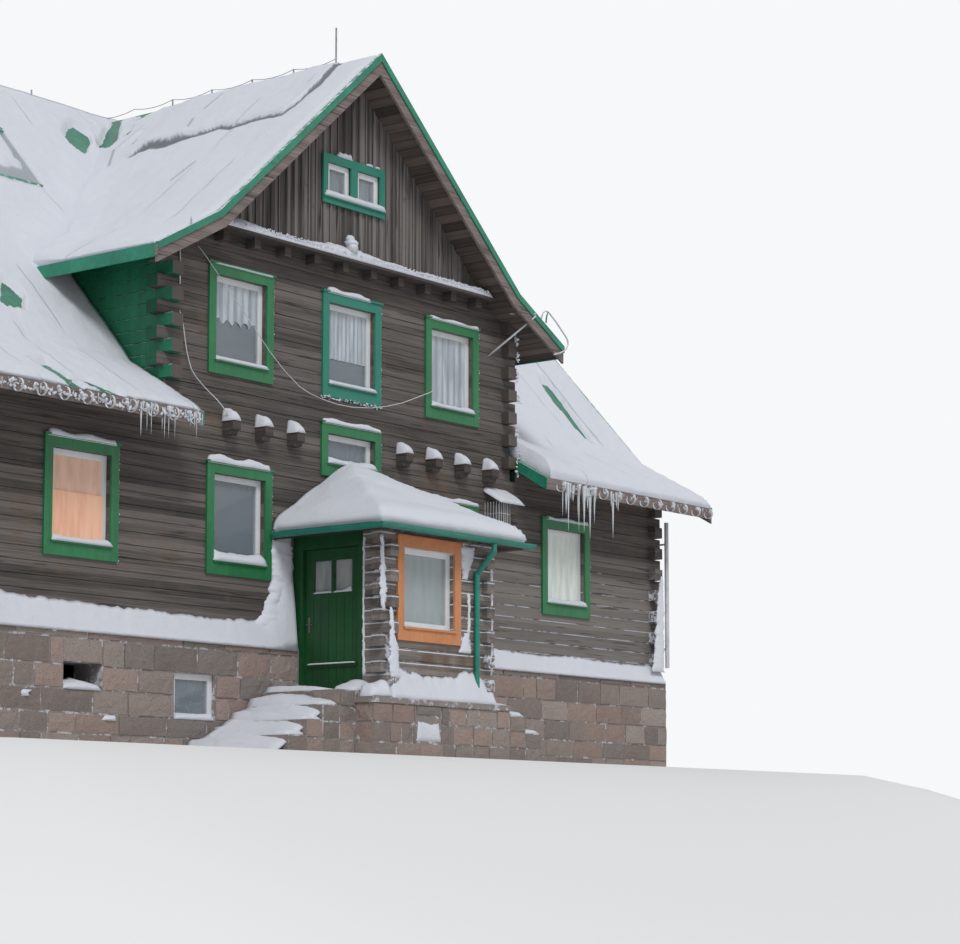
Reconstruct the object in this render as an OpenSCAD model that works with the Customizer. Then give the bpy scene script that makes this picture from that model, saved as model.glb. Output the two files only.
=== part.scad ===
/* [House body] */
// Length of the log body along its front
body_l = 16500; // [15900:100:17400]
// Depth of the log body, front wall face to back wall face
body_d = 10900; // [10600:100:11400]
// Height of one log course
course_h = 186; // [180:1:192]
// Log courses in each full storey
storey_courses = 16; // [16:1:17]
// Thickness of the log walls
log_t = 220; // [180:10:260]
// Length of the crossed log ends past each corner
log_end = 150; // [100:10:180]
// Depth of the open joint between two log courses
joint_d = 14; // [8:1:20]
// Half height of the open joint between two log courses
joint_h = 9; // [6:1:14]

/* [Stone base] */
// Height of the stone base at the foot of the log walls
base_h = 1750; // [1650:50:1900]
// Thickness of the stone base walls
base_t = 550; // [450:10:650]
// How far the stone base stands out from the log walls
base_out = 120; // [80:10:160]
// Fall of the sloping weathering on top of the stone base
base_fall = 120; // [60:10:160]
// Thickness of the basement floor
basement_t = 150; // [100:10:200]

/* [Floors] */
// Thickness of the timber floors
floor_t = 200; // [160:10:240]
// Width of the stair well behind the raised front window
well_w = 2300; // [2000:100:2600]
// Depth of the stair well from the front wall
well_d = 3000; // [2400:100:3400]

/* [Main roof] */
// Height of the main eave, top edge
eave_z = 4720; // [4700:10:4760]
// Overhang of the main eaves past the long walls
eave_out = 750; // [600:50:900]
// Overhang of the main verges past the end walls
verge_out = 600; // [450:50:750]
// Pitch of the main slopes in degrees
main_pitch = 48; // [46:1:50]
// Pitch of the flared foot of the main slopes in degrees
foot_pitch = 29.5; // [28:0.5:32]
// How far inside the wall face the flared foot begins
foot_in = 600; // [500:50:700]
// Thickness of the roof build-up, square to the slope
roof_t = 150; // [130:10:200]

/* [Cross wing] */
// Width of the cross wing between the outer faces of its side walls
wing_w = 8000; // [7800:50:8200]
// Pitch of the wing slopes in degrees
wing_pitch = 42; // [41:0.5:43]
// Pitch of the flared foot of the wing slopes in degrees
wing_foot_pitch = 29; // [27:0.5:31]
// How far inside the side wall face the wing's flared foot begins
wing_foot_in = 500; // [400:50:600]
// Overhang of the wing eaves past the side walls
wing_eave_out = 700; // [600:50:800]
// Overhang of the wing verges past the gable
wing_verge_out = 530; // [400:10:600]
// How far the wing ridge lies below the main ridge
ridge_drop = 50; // [20:10:100]
// Length of the wing side walls behind the gable wall
cheek_l = 2150; // [2000:50:2400]

/* [Gables] */
// Distance between the cover strips of the boarded gables
strip_pitch = 165; // [150:5:220]
// Width of the cover strips
strip_w = 50; // [40:5:70]
// How far the cover strips stand out from the boards
strip_out = 22; // [15:1:30]
// Thickness of the gable boarding with its posts
gable_t = 120; // [80:10:160]
// How far the sloping ledge at the foot of each wing gable stands out
ledge_out = 280; // [220:10:380]
// Thickness of the ledge boards
ledge_t = 40; // [25:5:80]
// Fall of the ledge from the wall to its edge
ledge_fall = 80; // [60:10:120]
// Distance between the attic joists
joist_pitch = 655; // [600:5:700]
// Width of the upper floor beam ends
beam_w = 170; // [140:10:190]
// How far the upper floor beams stand out of the gable wall
beam_out = 210; // [160:10:280]

/* [Windows] */
// Width over the green surround boards
win_w = 1360; // [1260:20:1440]
// Height over the green surround boards
win_h = 1600; // [1500:20:1640]
// Width of the side and top surround boards
board_w = 145; // [120:5:170]
// Height of the bottom surround board
board_b = 200; // [160:10:240]
// How far the surround boards stand out from the logs
board_out = 35; // [25:5:50]
// Width of the white casement frame
sash_w = 85; // [60:5:100]
// Depth of the white casement frame
sash_t = 60; // [45:5:80]
// How far the casement is set back from the wall face
sash_in = 70; // [40:5:100]
// Thickness of the glass
glass_t = 12; // [6:1:20]
// Height of the ground storey surrounds above the ground floor
sill_g = 850; // [800:10:900]
// Height of the upper storey surrounds above the upper floor
sill_u = 774; // [740:10:800]
// Distance from the centre line to the inner windows
win_x1 = 2455; // [2400:5:2500]
// Distance from the centre line to the outer windows
win_x2 = 5540; // [5300:20:5700]
// Distance from the centre line to the end wall windows, inner pair
end_x1 = 1220; // [1100:20:1300]
// Distance from the centre line to the end wall windows, outer pair
end_x2 = 3660; // [3500:20:3800]
// Width of the basement lights
cellar_w = 820; // [760:10:900]
// Height of the basement lights
cellar_h = 640; // [600:10:700]
// Height of the bottom of the basement lights
cellar_z = 510; // [450:10:560]

/* [Porch] */
// Width of the porch over its logs
porch_w = 2430; // [2350:10:2500]
// Depth of the porch in front of the house wall
porch_d = 1780; // [1740:10:1900]
// Distance of the porch centre from the house centre line
porch_x = -55; // [-80:5:0]
// Thickness of the porch logs
porch_t = 180; // [150:10:200]
// Log courses in the porch walls
porch_courses = 14; // [13:1:14]
// Height of the stone plinth under the porch
plinth_h = 850; // [800:10:900]
// Thickness of the porch floor boards
porch_floor_t = 100; // [60:10:120]
// Height of the porch roof above its eave at the house wall
porch_rise = 910; // [850:10:950]
// Height of the porch eave, top edge
porch_eave_z = 3340; // [3320:10:3400]
// Overhang of the porch eaves at the sides
porch_side_out = 440; // [400:10:480]
// Overhang of the porch eave at the front
porch_front_out = 300; // [250:10:350]
// Thickness of the porch roof, measured upright
porch_roof_t = 130; // [100:10:150]
// Width of the porch window over its surround boards
porch_win_w = 1460; // [1400:10:1480]
// Height of the porch window over its surround boards
porch_win_h = 1500; // [1440:10:1540]
// Distance of the porch window surround from the porch's left wall
porch_win_in = 60; // [40:5:100]
// Thickness of the coping on the plinth
coping_t = 80; // [60:10:100]
// How far the coping stands out from the plinth
coping_out = 30; // [20:5:50]
// Width of the landing in front of the porch door
landing_w = 780; // [700:20:900]
// Depth of each step tread
step_run = 350; // [320:10:380]
// Height of each step
step_rise = 225; // [210:5:240]
// Radius of the round gutter of the porch
gutter_r = 75; // [60:5:85]
// Radius of the downpipe of the porch
pipe_r = 42; // [35:1:50]

/* [Porch door] */
// Width of the porch door leaf
door_w = 1060; // [960:10:1080]
// Height of the porch door leaf
door_h = 2120; // [2000:10:2150]
// Thickness of the porch door leaf
door_t = 50; // [40:2:60]
// Gap around the door leaf
door_gap = 6; // [5:1:10]
// Width of the door frame posts
jamb_w = 90; // [70:5:110]
// How far the leaf is set back from the outer face
door_in = 60; // [40:5:80]
// Width of the doorway through the house wall
doorway_w = 1090; // [1000:10:1090]
// Height of the doorway through the house wall
doorway_h = 2050; // [1950:10:2100]

/* [Hidden] */

// Half sizes and levels of the body
hx = body_l / 2;
hy = body_d / 2;
wx = wing_w / 2;
ground_z = base_h;
storey_h = storey_courses * course_h;
upper_z = ground_z + storey_h;
attic_z = upper_z + storey_h;
far = 3 * body_l;

// Main roof section, as distances out from the ridge
m1 = tan(main_pitch);
m2 = tan(foot_pitch);
main_knee = hy - foot_in;
main_half = hy + eave_out;
knee_z = eave_z + (main_half - main_knee) * m2;
ridge_z = knee_z + main_knee * m1;

// Wing roof section, as distances out from its ridge
w1 = tan(wing_pitch);
w2 = tan(wing_foot_pitch);
wing_knee = wx - wing_foot_in;
wing_half = wx + wing_eave_out;
wing_ridge_z = ridge_z - ridge_drop;
wing_knee_z = wing_ridge_z - wing_knee * w1;
wing_eave_z = wing_knee_z - (wing_half - wing_knee) * w2;

// Window holes are what the surround boards leave open
hole_w = win_w - 2 * board_w;
hole_h = win_h - board_w - board_b;

// Vertical thickness of a roof of thickness t at a slope m
function upright(t, m) = t * sqrt(1 + m * m);

// Distance out from the ridge at which the underside turns
function knee_under(knee, s1, s2, t) = knee - (upright(t, s1) - upright(t, s2)) / (s1 - s2);

// Height of a two-pitch slope, d out from the ridge, lowered square to itself by t
function slope_z(d, top, knee, s1, s2, t) =
    d <= knee_under(knee, s1, s2, t)
        ? top - s1 * d - upright(t, s1)
        : top - s1 * knee - s2 * (d - knee) - upright(t, s2);
function main_z(d, t) = slope_z(d, ridge_z, main_knee, m1, m2, t);
function wing_z(d, t) = slope_z(d, wing_ridge_z, wing_knee, w1, w2, t);

// Half outline of a slope from the ridge to the eave, one thickness down
function main_line(t, half) = [
    [0, main_z(0, t)],
    [knee_under(main_knee, m1, m2, t), main_z(knee_under(main_knee, m1, m2, t), t)],
    [half, main_z(half, t)]
];
function wing_line(t, half) = [
    [0, wing_z(0, t)],
    [knee_under(wing_knee, w1, w2, t), wing_z(knee_under(wing_knee, w1, w2, t), t)],
    [half, wing_z(half, t)]
];
function back_to_front(line) = [for (i = [len(line) - 1 : -1 : 0]) line[i]];
function mirrored(line) = [for (p = line) [-p[0], p[1]]];

// Runs a flat outline (across, up) along X between two places
module along_x(x0, x1) {
    translate([x0, 0, 0]) rotate([90, 0, 90]) linear_extrude(x1 - x0) children();
}

// Runs a flat outline (across, up) along Y between two places
module along_y(y0, y1) {
    translate([0, y1, 0]) rotate([90, 0, 0]) linear_extrude(y1 - y0) children();
}

// Everything above the underside of the main roof
module above_main(t = roof_t) {
    line = main_line(t, main_half);
    along_x(-far, far) polygon(concat(
        [[-main_half, far], [main_half, far]], back_to_front(line), mirrored([line[1], line[2]])));
}

// Everything above the underside of the wing roof
module above_wing(t = roof_t) {
    line = wing_line(t, wing_half);
    along_y(-far, far) polygon(concat(
        [[-wing_half, far], [wing_half, far]], back_to_front(line), mirrored([line[1], line[2]])));
}

// Places a piece made for the front face onto the four faces of the house
module on_front() {
    translate([0, -hy, 0]) children();
}
module on_back() {
    mirror([0, 1, 0]) translate([0, -hy, 0]) children();
}
module on_left() {
    translate([-hx, 0, 0]) rotate([0, 0, -90]) children();
}
module on_right() {
    mirror([1, 0, 0]) on_left() children();
}

// Section of a log wall: outer face at 0, inner face at t, one open joint a course
function log_section(n, t) = concat(
    [for (i = [0 : n - 1]) each [
        [joint_d, i * course_h],
        [0, i * course_h + joint_h],
        [0, (i + 1) * course_h - joint_h]
    ]],
    [[joint_d, n * course_h], [t, n * course_h], [t, 0]]
);

// A log wall from x0 to x1, whose corner ends cross the logs of the next wall.
// Courses of the given parity run past the corner, from course "first" upwards.
module log_wall(x0, x1, n, parity, t = log_t, out = log_end, first = 0, left = true, right = true) {
    xa = left ? x0 - out : x0;
    xb = right ? x1 + out : x1;
    difference() {
        along_x(xa, xb) polygon(log_section(n, t));
        for (i = [0 : n - 1]) {
            through = i % 2 == parity;
            cut = through ? (i >= first ? 0 : out) : out + t;
            if (cut > 0 && left)
                translate([xa - 1, -1, i * course_h]) cube([cut + 1, t + 2, course_h]);
            if (cut > 0 && right)
                translate([xb - cut, -1, i * course_h]) cube([cut + 1, t + 2, course_h]);
        }
    }
}

// Hole for a window whose surround stands with its bottom at z
module hole(x, z, w = win_w, h = win_h, deep = log_t) {
    translate([x - w / 2 + board_w, -100, z + board_b])
        cube([w - 2 * board_w, deep + 200, h - board_w - board_b]);
}

// Window places on each face: [centre x, surround bottom, width, height]
sill_gz = ground_z + sill_g;
sill_uz = upper_z + sill_u;
stair_h = 800;
stair_top = 364;
stair_z = upper_z + stair_top - stair_h;
stair_w = 2 * board_w + doorway_w;
attic_w = 1440;
attic_h = 770;
attic_side = 110;
attic_top = 130;
attic_foot = 110;
attic_post = 155;
attic_in = 0;
attic_rise = 770;
attic_sill = attic_z + attic_rise;
front_ground = [for (x = [-win_x2, -win_x1, win_x1, win_x2]) [x, sill_gz, win_w, win_h]];
back_ground = concat(front_ground, [[0, sill_gz, win_w, win_h]]);
wing_upper = [for (x = [-win_x1, 0, win_x1]) [x, sill_uz, win_w, win_h]];
end_ground = [for (x = [-end_x2, -end_x1, end_x1, end_x2]) [x, sill_gz, win_w, win_h]];
end_upper = [for (x = [-end_x1, end_x1]) [x, sill_uz, win_w, win_h]];
attic_light_w = (attic_w - 2 * attic_side - attic_post) / 2;
attic_light_h = attic_h - attic_top - attic_foot;
attic_pair = [for (s = [-1, 1]) as_window([
    s * (attic_post + attic_light_w) / 2, attic_sill + attic_foot, attic_light_w, attic_light_h
])];
stair_one = [[0, stair_z, stair_w, stair_h]];
front_wins = concat(front_ground, wing_upper, stair_one);
back_wins = concat(back_ground, wing_upper);
end_wins = concat(end_ground, end_upper);

// Basement lights: [centre x, bottom, width, height]
vent_x = -5560;
vent_z = 830;
vent_w = 700;
vent_h = 360;
cellar_x = -3430;
vent = [vent_x, vent_z, vent_w, vent_h];
light = [cellar_x, cellar_z, cellar_w, cellar_h];
front_lights = [vent, light];
back_lights = [for (x = [-win_x2, -win_x1, win_x1, win_x2]) [x, cellar_z, cellar_w, cellar_h]];

// Stone base, with its sloping weathering outside the logs
base_section = [
    [-base_out, 0], [-base_out, base_h - base_fall], [0, base_h], [base_t - base_out, base_h],
    [base_t - base_out, 0]
];
base_inner_y = hy - (base_t - base_out);
base_inner_x = hx - (base_t - base_out);

module basement_floor() {
    color("dimgray") translate([-base_inner_x, -base_inner_y, 0])
        cube([2 * base_inner_x, 2 * base_inner_y, basement_t]);
}

module base_wall_long(lights) {
    // The ends are mitred into the end walls along the diagonal
    difference() {
        along_x(-hx - base_out, hx + base_out) polygon(base_section);
        for (s = [-1, 1]) translate([s * hx, 0, -1]) linear_extrude(base_h + 2)
            polygon([[-s * base_t, base_t], [s * 2 * base_out, -2 * base_out],
                [s * 2 * base_t, -2 * base_out], [s * 2 * base_t, 2 * base_t], [-s * base_t, 2 * base_t]]);
        for (l = lights) translate([l[0] - l[2] / 2, -base_out - 50, l[1]])
            cube([l[2], base_t + 100, l[3]]);
    }
}

module base_wall_short() {
    difference() {
        along_x(-hy - base_out, hy + base_out) polygon(base_section);
        for (s = [-1, 1]) translate([s * hy, 0, -1]) linear_extrude(base_h + 2)
            polygon([[-s * base_t, base_t], [s * 2 * base_out, -2 * base_out],
                [s * 2 * base_t, -2 * base_out], [s * 2 * base_t, 2 * base_t], [-s * base_t, 2 * base_t]]);
    }
}

module base_wall_front() {
    color("rosybrown") on_front() base_wall_long(front_lights);
}

module base_wall_back() {
    color("rosybrown") on_back() base_wall_long(back_lights);
}

module base_wall_left() {
    color("rosybrown") on_left() base_wall_short();
}

module base_wall_right() {
    color("rosybrown") on_right() base_wall_short();
}

// Floors span between the walls
module ground_floor() {
    color("burlywood") translate([-base_inner_x, -base_inner_y, ground_z - floor_t])
        cube([2 * base_inner_x, 2 * base_inner_y, floor_t]);
}

module upper_floor() {
    color("burlywood") translate([-hx + log_t, -hy + log_t + well_d, upper_z - floor_t])
        cube([2 * (hx - log_t), 2 * (hy - log_t) - well_d, floor_t]);
}

// The upper floor on both sides of the stair well
module upper_floor_sides() {
    color("burlywood") for (side = [0, 1]) mirror([side, 0, 0])
        translate([-hx + log_t, -hy + log_t, upper_z - floor_t])
            cube([hx - log_t - well_w / 2, well_d, floor_t]);
}

// Half width of the wing's attic between its roof slopes or its side walls
wing_attic = min((wing_z(0, roof_t) - attic_z) / w1, wx - log_t);

module attic_floor() {
    main_d = (main_z(0, roof_t) - attic_z) / m1;
    wing_d = wing_attic;
    color("burlywood") translate([0, 0, attic_z - floor_t]) linear_extrude(floor_t) union() {
        square([2 * (hx - log_t), 2 * main_d], center = true);
        square([2 * wing_d, 2 * (hy - log_t)], center = true);
    }
}

// The front and back ground walls carry one more course outside the wing,
// cut to the underside of the roof
module long_wall(x0, x1, left, right, wins) {
    difference() {
        translate([0, 0, ground_z]) log_wall(x0, x1, storey_courses + 1, 0, left = left, right = right);
        translate([-wx - log_end, -1, upper_z])
            cube([2 * (wx + log_end), log_t + 2, course_h + 1]);
        for (w = wins) hole(w[0], w[1], w[2], w[3]);
        translate([0, hy, 0]) above_main();
    }
}

module front_wall_left() {
    color("saddlebrown") on_front() long_wall(-hx, -doorway_w / 2, true, false, front_ground);
}

module front_wall_right() {
    color("saddlebrown") on_front() long_wall(doorway_w / 2, hx, false, true, front_ground);
}

module front_wall_over_door() {
    z0 = ground_z + doorway_h;
    color("saddlebrown") on_front() translate([-doorway_w / 2, 0, z0])
        cube([doorway_w, log_t, stair_z + board_b - z0]);
}

module back_wall() {
    color("saddlebrown") on_back() long_wall(-hx, hx, true, true, back_ground);
}

module end_wall() {
    difference() {
        translate([0, 0, ground_z]) log_wall(-hy, hy, storey_courses, 1);
        for (w = end_ground) hole(w[0], w[1], w[2], w[3]);
    }
}

module left_wall() {
    color("saddlebrown") on_left() end_wall();
}

module right_wall() {
    color("saddlebrown") on_right() end_wall();
}

// Lowest course whose ends clear the main roof beside the wing
roof_top_in = main_z(hy - log_t, 0);
first_free = ceil((roof_top_in - upper_z) / course_h);

module wing_wall(wins) {
    difference() {
        translate([0, 0, upper_z])
            log_wall(-wx, wx, storey_courses, 0, first = first_free);
        for (w = wins) hole(w[0], w[1], w[2], w[3]);
        above_wing();
    }
}

module front_upper_wall() {
    color("saddlebrown") on_front() wing_wall(concat(wing_upper, stair_one));
}

module back_upper_wall() {
    color("saddlebrown") on_back() wing_wall(wing_upper);
}

module end_upper_walls() {
    color("saddlebrown") for (side = [0, 1]) mirror([side, 0, 0]) difference() {
        on_left() difference() {
            translate([0, 0, upper_z]) log_wall(-hy, hy, storey_courses, 1);
            for (w = end_upper) hole(w[0], w[1], w[2], w[3]);
        }
        above_main();
    }
}

// Side walls of the wing above the upper floor, running back under its eaves
module wing_side_walls() {
    color("darkgreen") for (fx = [0, 1], fy = [0, 1]) mirror([fx, 0, 0]) mirror([0, fy, 0])
        difference() {
            translate([-wx, 0, upper_z]) rotate([0, 0, -90])
                log_wall(hy - cheek_l, hy, storey_courses, 1, left = false);
            above_wing();
        }
}

// Boarded gable: upright boards with cover strips over their joints
module boarded_gable(half, wins) {
    n = floor((half - strip_w) / strip_pitch);
    difference() {
        translate([0, 0, attic_z]) linear_extrude(ridge_z - attic_z) union() {
            translate([-half - gable_t, 0]) square([2 * (half + gable_t), gable_t]);
            for (i = [-n : n]) translate([i * strip_pitch - strip_w / 2, -strip_out])
                square([strip_w, strip_out + 1]);
        }
        for (w = wins) hole(w[0], w[1], w[2], w[3]);
    }
}

module wing_gables() {
    half = (wing_z(0, roof_t) - attic_z) / w1;
    color("sienna") for (side = [0, 1]) mirror([0, side, 0]) difference() {
        on_front() boarded_gable(half, attic_pair);
        above_wing();
    }
}

module end_gables() {
    half = (main_z(0, roof_t) - attic_z) / m1;
    color("sienna") for (side = [0, 1]) mirror([side, 0, 0]) difference() {
        on_left() boarded_gable(half, attic_pair);
        above_main();
    }
}

// One slope of the main roof, on the side -y, from x0 to x1
module main_slope(x0, x1) {
    top = main_line(0, main_half);
    under = main_line(roof_t, main_half);
    along_x(x0, x1) polygon(concat(mirrored(top), mirrored(back_to_front(under))));
}

// Space inside the wing, below the underside of its roof
module inside_wing() {
    line = wing_line(roof_t, wx);
    along_y(-far, far) polygon(concat(
        [[-wx, 0]], mirrored(back_to_front(line)), [line[1], line[2]], [[wx, 0]]));
}

module main_roof_quarter(flip_x, flip_y) {
    mirror([flip_x, 0, 0]) mirror([0, flip_y, 0]) difference() {
        main_slope(-hx - verge_out, 0);
        inside_wing();
    }
}

// Roof window on the slope beside the wing
light_in = 850;
light_w = 940;
light_x = -wx + light_in - light_w;
light_y0 = -1950;
light_y1 = -1050;

module roof_light_hole() {
    translate([light_x, light_y0, 0]) cube([light_w, light_y1 - light_y0, far]);
}

module main_roof_front_left() {
    color("whitesmoke") difference() {
        main_roof_quarter(0, 0);
        roof_light_hole();
    }
}

module main_roof_front_right() {
    color("whitesmoke") main_roof_quarter(1, 0);
}

module main_roof_back_left() {
    color("whitesmoke") main_roof_quarter(0, 1);
}

module main_roof_back_right() {
    color("whitesmoke") main_roof_quarter(1, 1);
}

// Everything under the top of the main roof
module under_main_top() {
    line = main_line(0, main_half);
    along_x(-far, far) polygon(concat(
        [[-main_half, -far]], mirrored(back_to_front(line)), [line[1], line[2]], [[main_half, -far]]));
}

module wing_slope() {
    top = wing_line(0, wing_half);
    under = wing_line(roof_t, wing_half);
    difference() {
        along_y(-hy - wing_verge_out, hy + wing_verge_out)
            polygon(concat(mirrored(top), mirrored(back_to_front(under))));
        under_main_top();
    }
}

module wing_roof_left() {
    color("gainsboro") wing_slope();
}

module wing_roof_right() {
    color("gainsboro") mirror([1, 0, 0]) wing_slope();
}

// Bargeboards on the roof edge, their top level with the roof
barge_t = 45;
barge_h = 225;
flash_t = 25;
flash_out = 25;
module wing_barge(y0, y1, up, down) {
    top = wing_line(-up, wing_half + flash_t);
    low = wing_line(down, wing_half + flash_t);
    along_y(y0, y1) polygon(concat(mirrored(back_to_front(top)), [top[1], top[2]],
        back_to_front(low), mirrored([low[1], low[2]])));
}

module main_barge(x0, x1, up, down) {
    top = main_line(-up, main_half + flash_t);
    low = main_line(down, main_half + flash_t);
    along_x(x0, x1) polygon(concat(mirrored(back_to_front(top)), [top[1], top[2]],
        back_to_front(low), mirrored([low[1], low[2]])));
}

wing_end = hy + wing_verge_out;
main_end = hx + verge_out;
module bargeboards() {
    color("tan") {
        for (side = [0, 1]) mirror([0, side, 0]) wing_barge(-wing_end - barge_t, -wing_end, 0, barge_h);
        for (side = [0, 1]) mirror([side, 0, 0]) main_barge(-main_end - barge_t, -main_end, 0, barge_h);
    }
}

// Metal flashings folded over the bargeboards
module verge_flashings() {
    color("seagreen") {
        for (side = [0, 1]) mirror([0, side, 0]) difference() {
            wing_barge(-wing_end - barge_t - flash_out, -wing_end, flash_t, 70);
            translate([0, 0, 0]) wing_barge(-wing_end - barge_t, 0, 0, far);
        }
        for (side = [0, 1]) mirror([side, 0, 0]) difference() {
            main_barge(-main_end - barge_t - flash_out, -main_end, flash_t, 70);
            main_barge(-main_end - barge_t, 0, 0, far);
        }
    }
}

// Boards along the plumb-cut eaves
fascia_h = 190;
module eave_boards() {
    color("tan") for (fx = [0, 1], fy = [0, 1]) mirror([fx, 0, 0]) mirror([0, fy, 0])
        translate([-main_end, -main_half - flash_t, eave_z - fascia_h])
            cube([main_end - wx, flash_t, fascia_h]);
}

// Boards along the wing eaves, and over the roof ends beside the wing's corner logs
module wing_eave_boards() {
    color("seagreen") for (fx = [0, 1], fy = [0, 1]) mirror([fx, 0, 0]) mirror([0, fy, 0]) {
        difference() {
            translate([-wing_half - flash_t, -wing_end, wing_eave_z - fascia_h])
                cube([flash_t, wing_end, fascia_h]);
            under_main_top();
        }
        along_x(-wx, -wx + flash_t) polygon([
            [-main_half - flash_t, eave_z], [-hy - log_end, main_z(hy + log_end, 0)],
            [-hy - log_end, main_z(hy + log_end, roof_t)], [-main_half, eave_z - fascia_h],
            [-main_half - flash_t, eave_z - fascia_h]
        ]);
    }
}

// Flat steel hooks that held the half-round gutters, left empty
hook_pitch = 400;
hook_r = 90;
hook_t = 6;
hook_w = 30;
module gutter_hook() {
    rotate([90, 0, 90]) translate([0, 0, -hook_w / 2]) linear_extrude(hook_w) {
        difference() {
            circle(r = hook_r, $fn = 32);
            circle(r = hook_r - hook_t, $fn = 32);
            translate([0, hook_r / 3]) square([2 * hook_r, hook_r]);
        }
    }
}

module gutter_hooks() {
    run = main_end - wx - 2 * hook_pitch / 2;
    n = floor(run / hook_pitch);
    color("gray") for (fx = [0, 1], fy = [0, 1], i = [0 : n])
        mirror([fx, 0, 0]) mirror([0, fy, 0])
            translate([-main_end + hook_pitch / 2 + i * hook_pitch,
                -main_half - flash_t - hook_r, eave_z - fascia_h / 2 - 30]) gutter_hook();
}

// Ends of the upper floor beams, standing out of the gable walls
beam_h = 200;
beam_x = [-2730, -2040, -1350, 1170, 1900, 2620, 3350];
module floor_beam_ends() {
    color("peru") for (side = [0, 1]) mirror([0, side, 0])
        for (x = beam_x) translate([x - beam_w / 2, -hy - beam_out, upper_z - beam_h / 2])
            difference() {
                cube([beam_w, beam_out, beam_h]);
                translate([-1, 0, 0]) rotate([0, 90, 0])
                    cylinder(r = beam_h * 0.35, h = beam_w + 2, $fn = 32);
            }
}

// Ends of the attic joists under the gable ledge, as many as fit between the slopes
joist_w = 130;
joist_h = 150;
joist_out = 180;
joist_top = attic_z - ledge_fall - ledge_t;
module attic_joist_ends() {
    color("peru") for (side = [0, 1]) mirror([0, side, 0])
        for (i = [-4.5 : 1 : 4.5]) if (wing_z(abs(i) * joist_pitch + joist_w / 2, roof_t) > joist_top)
            translate([i * joist_pitch - joist_w / 2, -hy - joist_out, joist_top - joist_h])
                cube([joist_w, joist_out, joist_h]);
}

// Sloping board that sheds water at the foot of each wing gable
module gable_ledges() {
    half = wing_attic;
    color("sienna") for (side = [0, 1]) mirror([0, side, 0])
        along_x(-half, half) polygon([
            [-hy - ledge_out, attic_z - ledge_fall - ledge_t], [-hy, attic_z - ledge_fall - ledge_t],
            [-hy, attic_z], [-hy - ledge_out, attic_z - ledge_fall]
        ]);
}

// Green boards around a window, with a sill and a drip cap
cap_out = 60;
cap_h = 30;
module surround(w, out = board_out) {
    x = w[0];
    z = w[1];
    ww = w[2];
    hh = w[3];
    translate([x - ww / 2, -out, z]) difference() {
        cube([ww, out, hh]);
        translate([board_w, -1, board_b]) cube([ww - 2 * board_w, out + 2, hh - board_w - board_b]);
    }
    translate([x - ww / 2 - 20, -cap_out, z + hh]) cube([ww + 40, cap_out, cap_h]);
    translate([x - ww / 2 + board_w - 20, -cap_out, z + board_b - cap_h])
        cube([ww - 2 * board_w + 40, cap_out, cap_h]);
}

// Green frame of an attic window, with a post between its two casements
module attic_surround() {
    translate([-attic_w / 2, -strip_out - board_out, attic_sill]) difference() {
        cube([attic_w, board_out, attic_h]);
        for (i = [0, 1]) translate([attic_side + i * (attic_light_w + attic_post), -1, attic_foot])
            cube([attic_light_w, board_out + 2, attic_light_h]);
    }
    translate([-attic_w / 2, -strip_out - cap_out, attic_sill + attic_foot - cap_h])
        cube([attic_w, cap_out, cap_h]);
}

module window_surrounds() {
    color("green") {
        on_front() for (w = front_wins) surround(w);
        on_back() for (w = back_wins) surround(w);
        on_left() for (w = end_wins) surround(w);
        on_right() for (w = end_wins) surround(w);
        on_front() attic_surround();
        on_back() attic_surround();
        on_left() attic_surround();
        on_right() attic_surround();
    }
}

// White casement, set back from the wall face
module casement(w, back = sash_in) {
    bw = w[2] - 2 * board_w;
    bh = w[3] - board_w - board_b;
    translate([w[0] - bw / 2, back, w[1] + board_b]) difference() {
        cube([bw, sash_t, bh]);
        translate([sash_w, -1, sash_w]) cube([bw - 2 * sash_w, sash_t + 2, bh - 2 * sash_w]);
    }
}

module pane(w, back = sash_in) {
    bw = w[2] - 2 * board_w;
    bh = w[3] - board_w - board_b;
    translate([w[0] - bw / 2 + sash_w, back + (sash_t - glass_t) / 2, w[1] + board_b + sash_w])
        cube([bw - 2 * sash_w, glass_t, bh - 2 * sash_w]);
}

// Basement light as a window whose surround is the stone itself
function as_window(l) = [l[0], l[1] - board_b, l[2] + 2 * board_w, l[3] + board_w + board_b];

module window_frames() {
    color("white") {
        on_front() for (w = front_wins) casement(w);
        on_back() for (w = back_wins) casement(w);
        on_left() for (w = end_wins) casement(w);
        on_right() for (w = end_wins) casement(w);
        on_front() for (w = attic_pair) casement(w, attic_in);
        on_back() for (w = attic_pair) casement(w, attic_in);
        on_left() for (w = attic_pair) casement(w, attic_in);
        on_right() for (w = attic_pair) casement(w, attic_in);
        on_front() translate([0, -base_out, 0]) casement(as_window(light));
        on_back() translate([0, -base_out, 0]) for (l = back_lights) casement(as_window(l));
        translate([0, py0, 0]) casement(porch_win);
    }
}

module window_panes() {
    color("lightblue") {
        on_front() for (w = front_wins) pane(w);
        on_back() for (w = back_wins) pane(w);
        on_left() for (w = end_wins) pane(w);
        on_right() for (w = end_wins) pane(w);
        on_front() for (w = attic_pair) pane(w, attic_in);
        on_back() for (w = attic_pair) pane(w, attic_in);
        on_left() for (w = attic_pair) pane(w, attic_in);
        on_right() for (w = attic_pair) pane(w, attic_in);
        on_front() translate([0, -base_out, 0]) pane(as_window(light));
        on_back() translate([0, -base_out, 0]) for (l = back_lights) pane(as_window(l));
        translate([0, py0, 0]) pane(porch_win);
        roof_window_pane();
    }
}

// Porch, built from its left front corner
px0 = porch_x - porch_w / 2;
px1 = porch_x + porch_w / 2;
py0 = -hy - porch_d;
porch_floor_z = plinth_h + porch_floor_t;
eave_half = porch_w / 2 + porch_side_out;
eave_y = py0 - porch_front_out;

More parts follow.
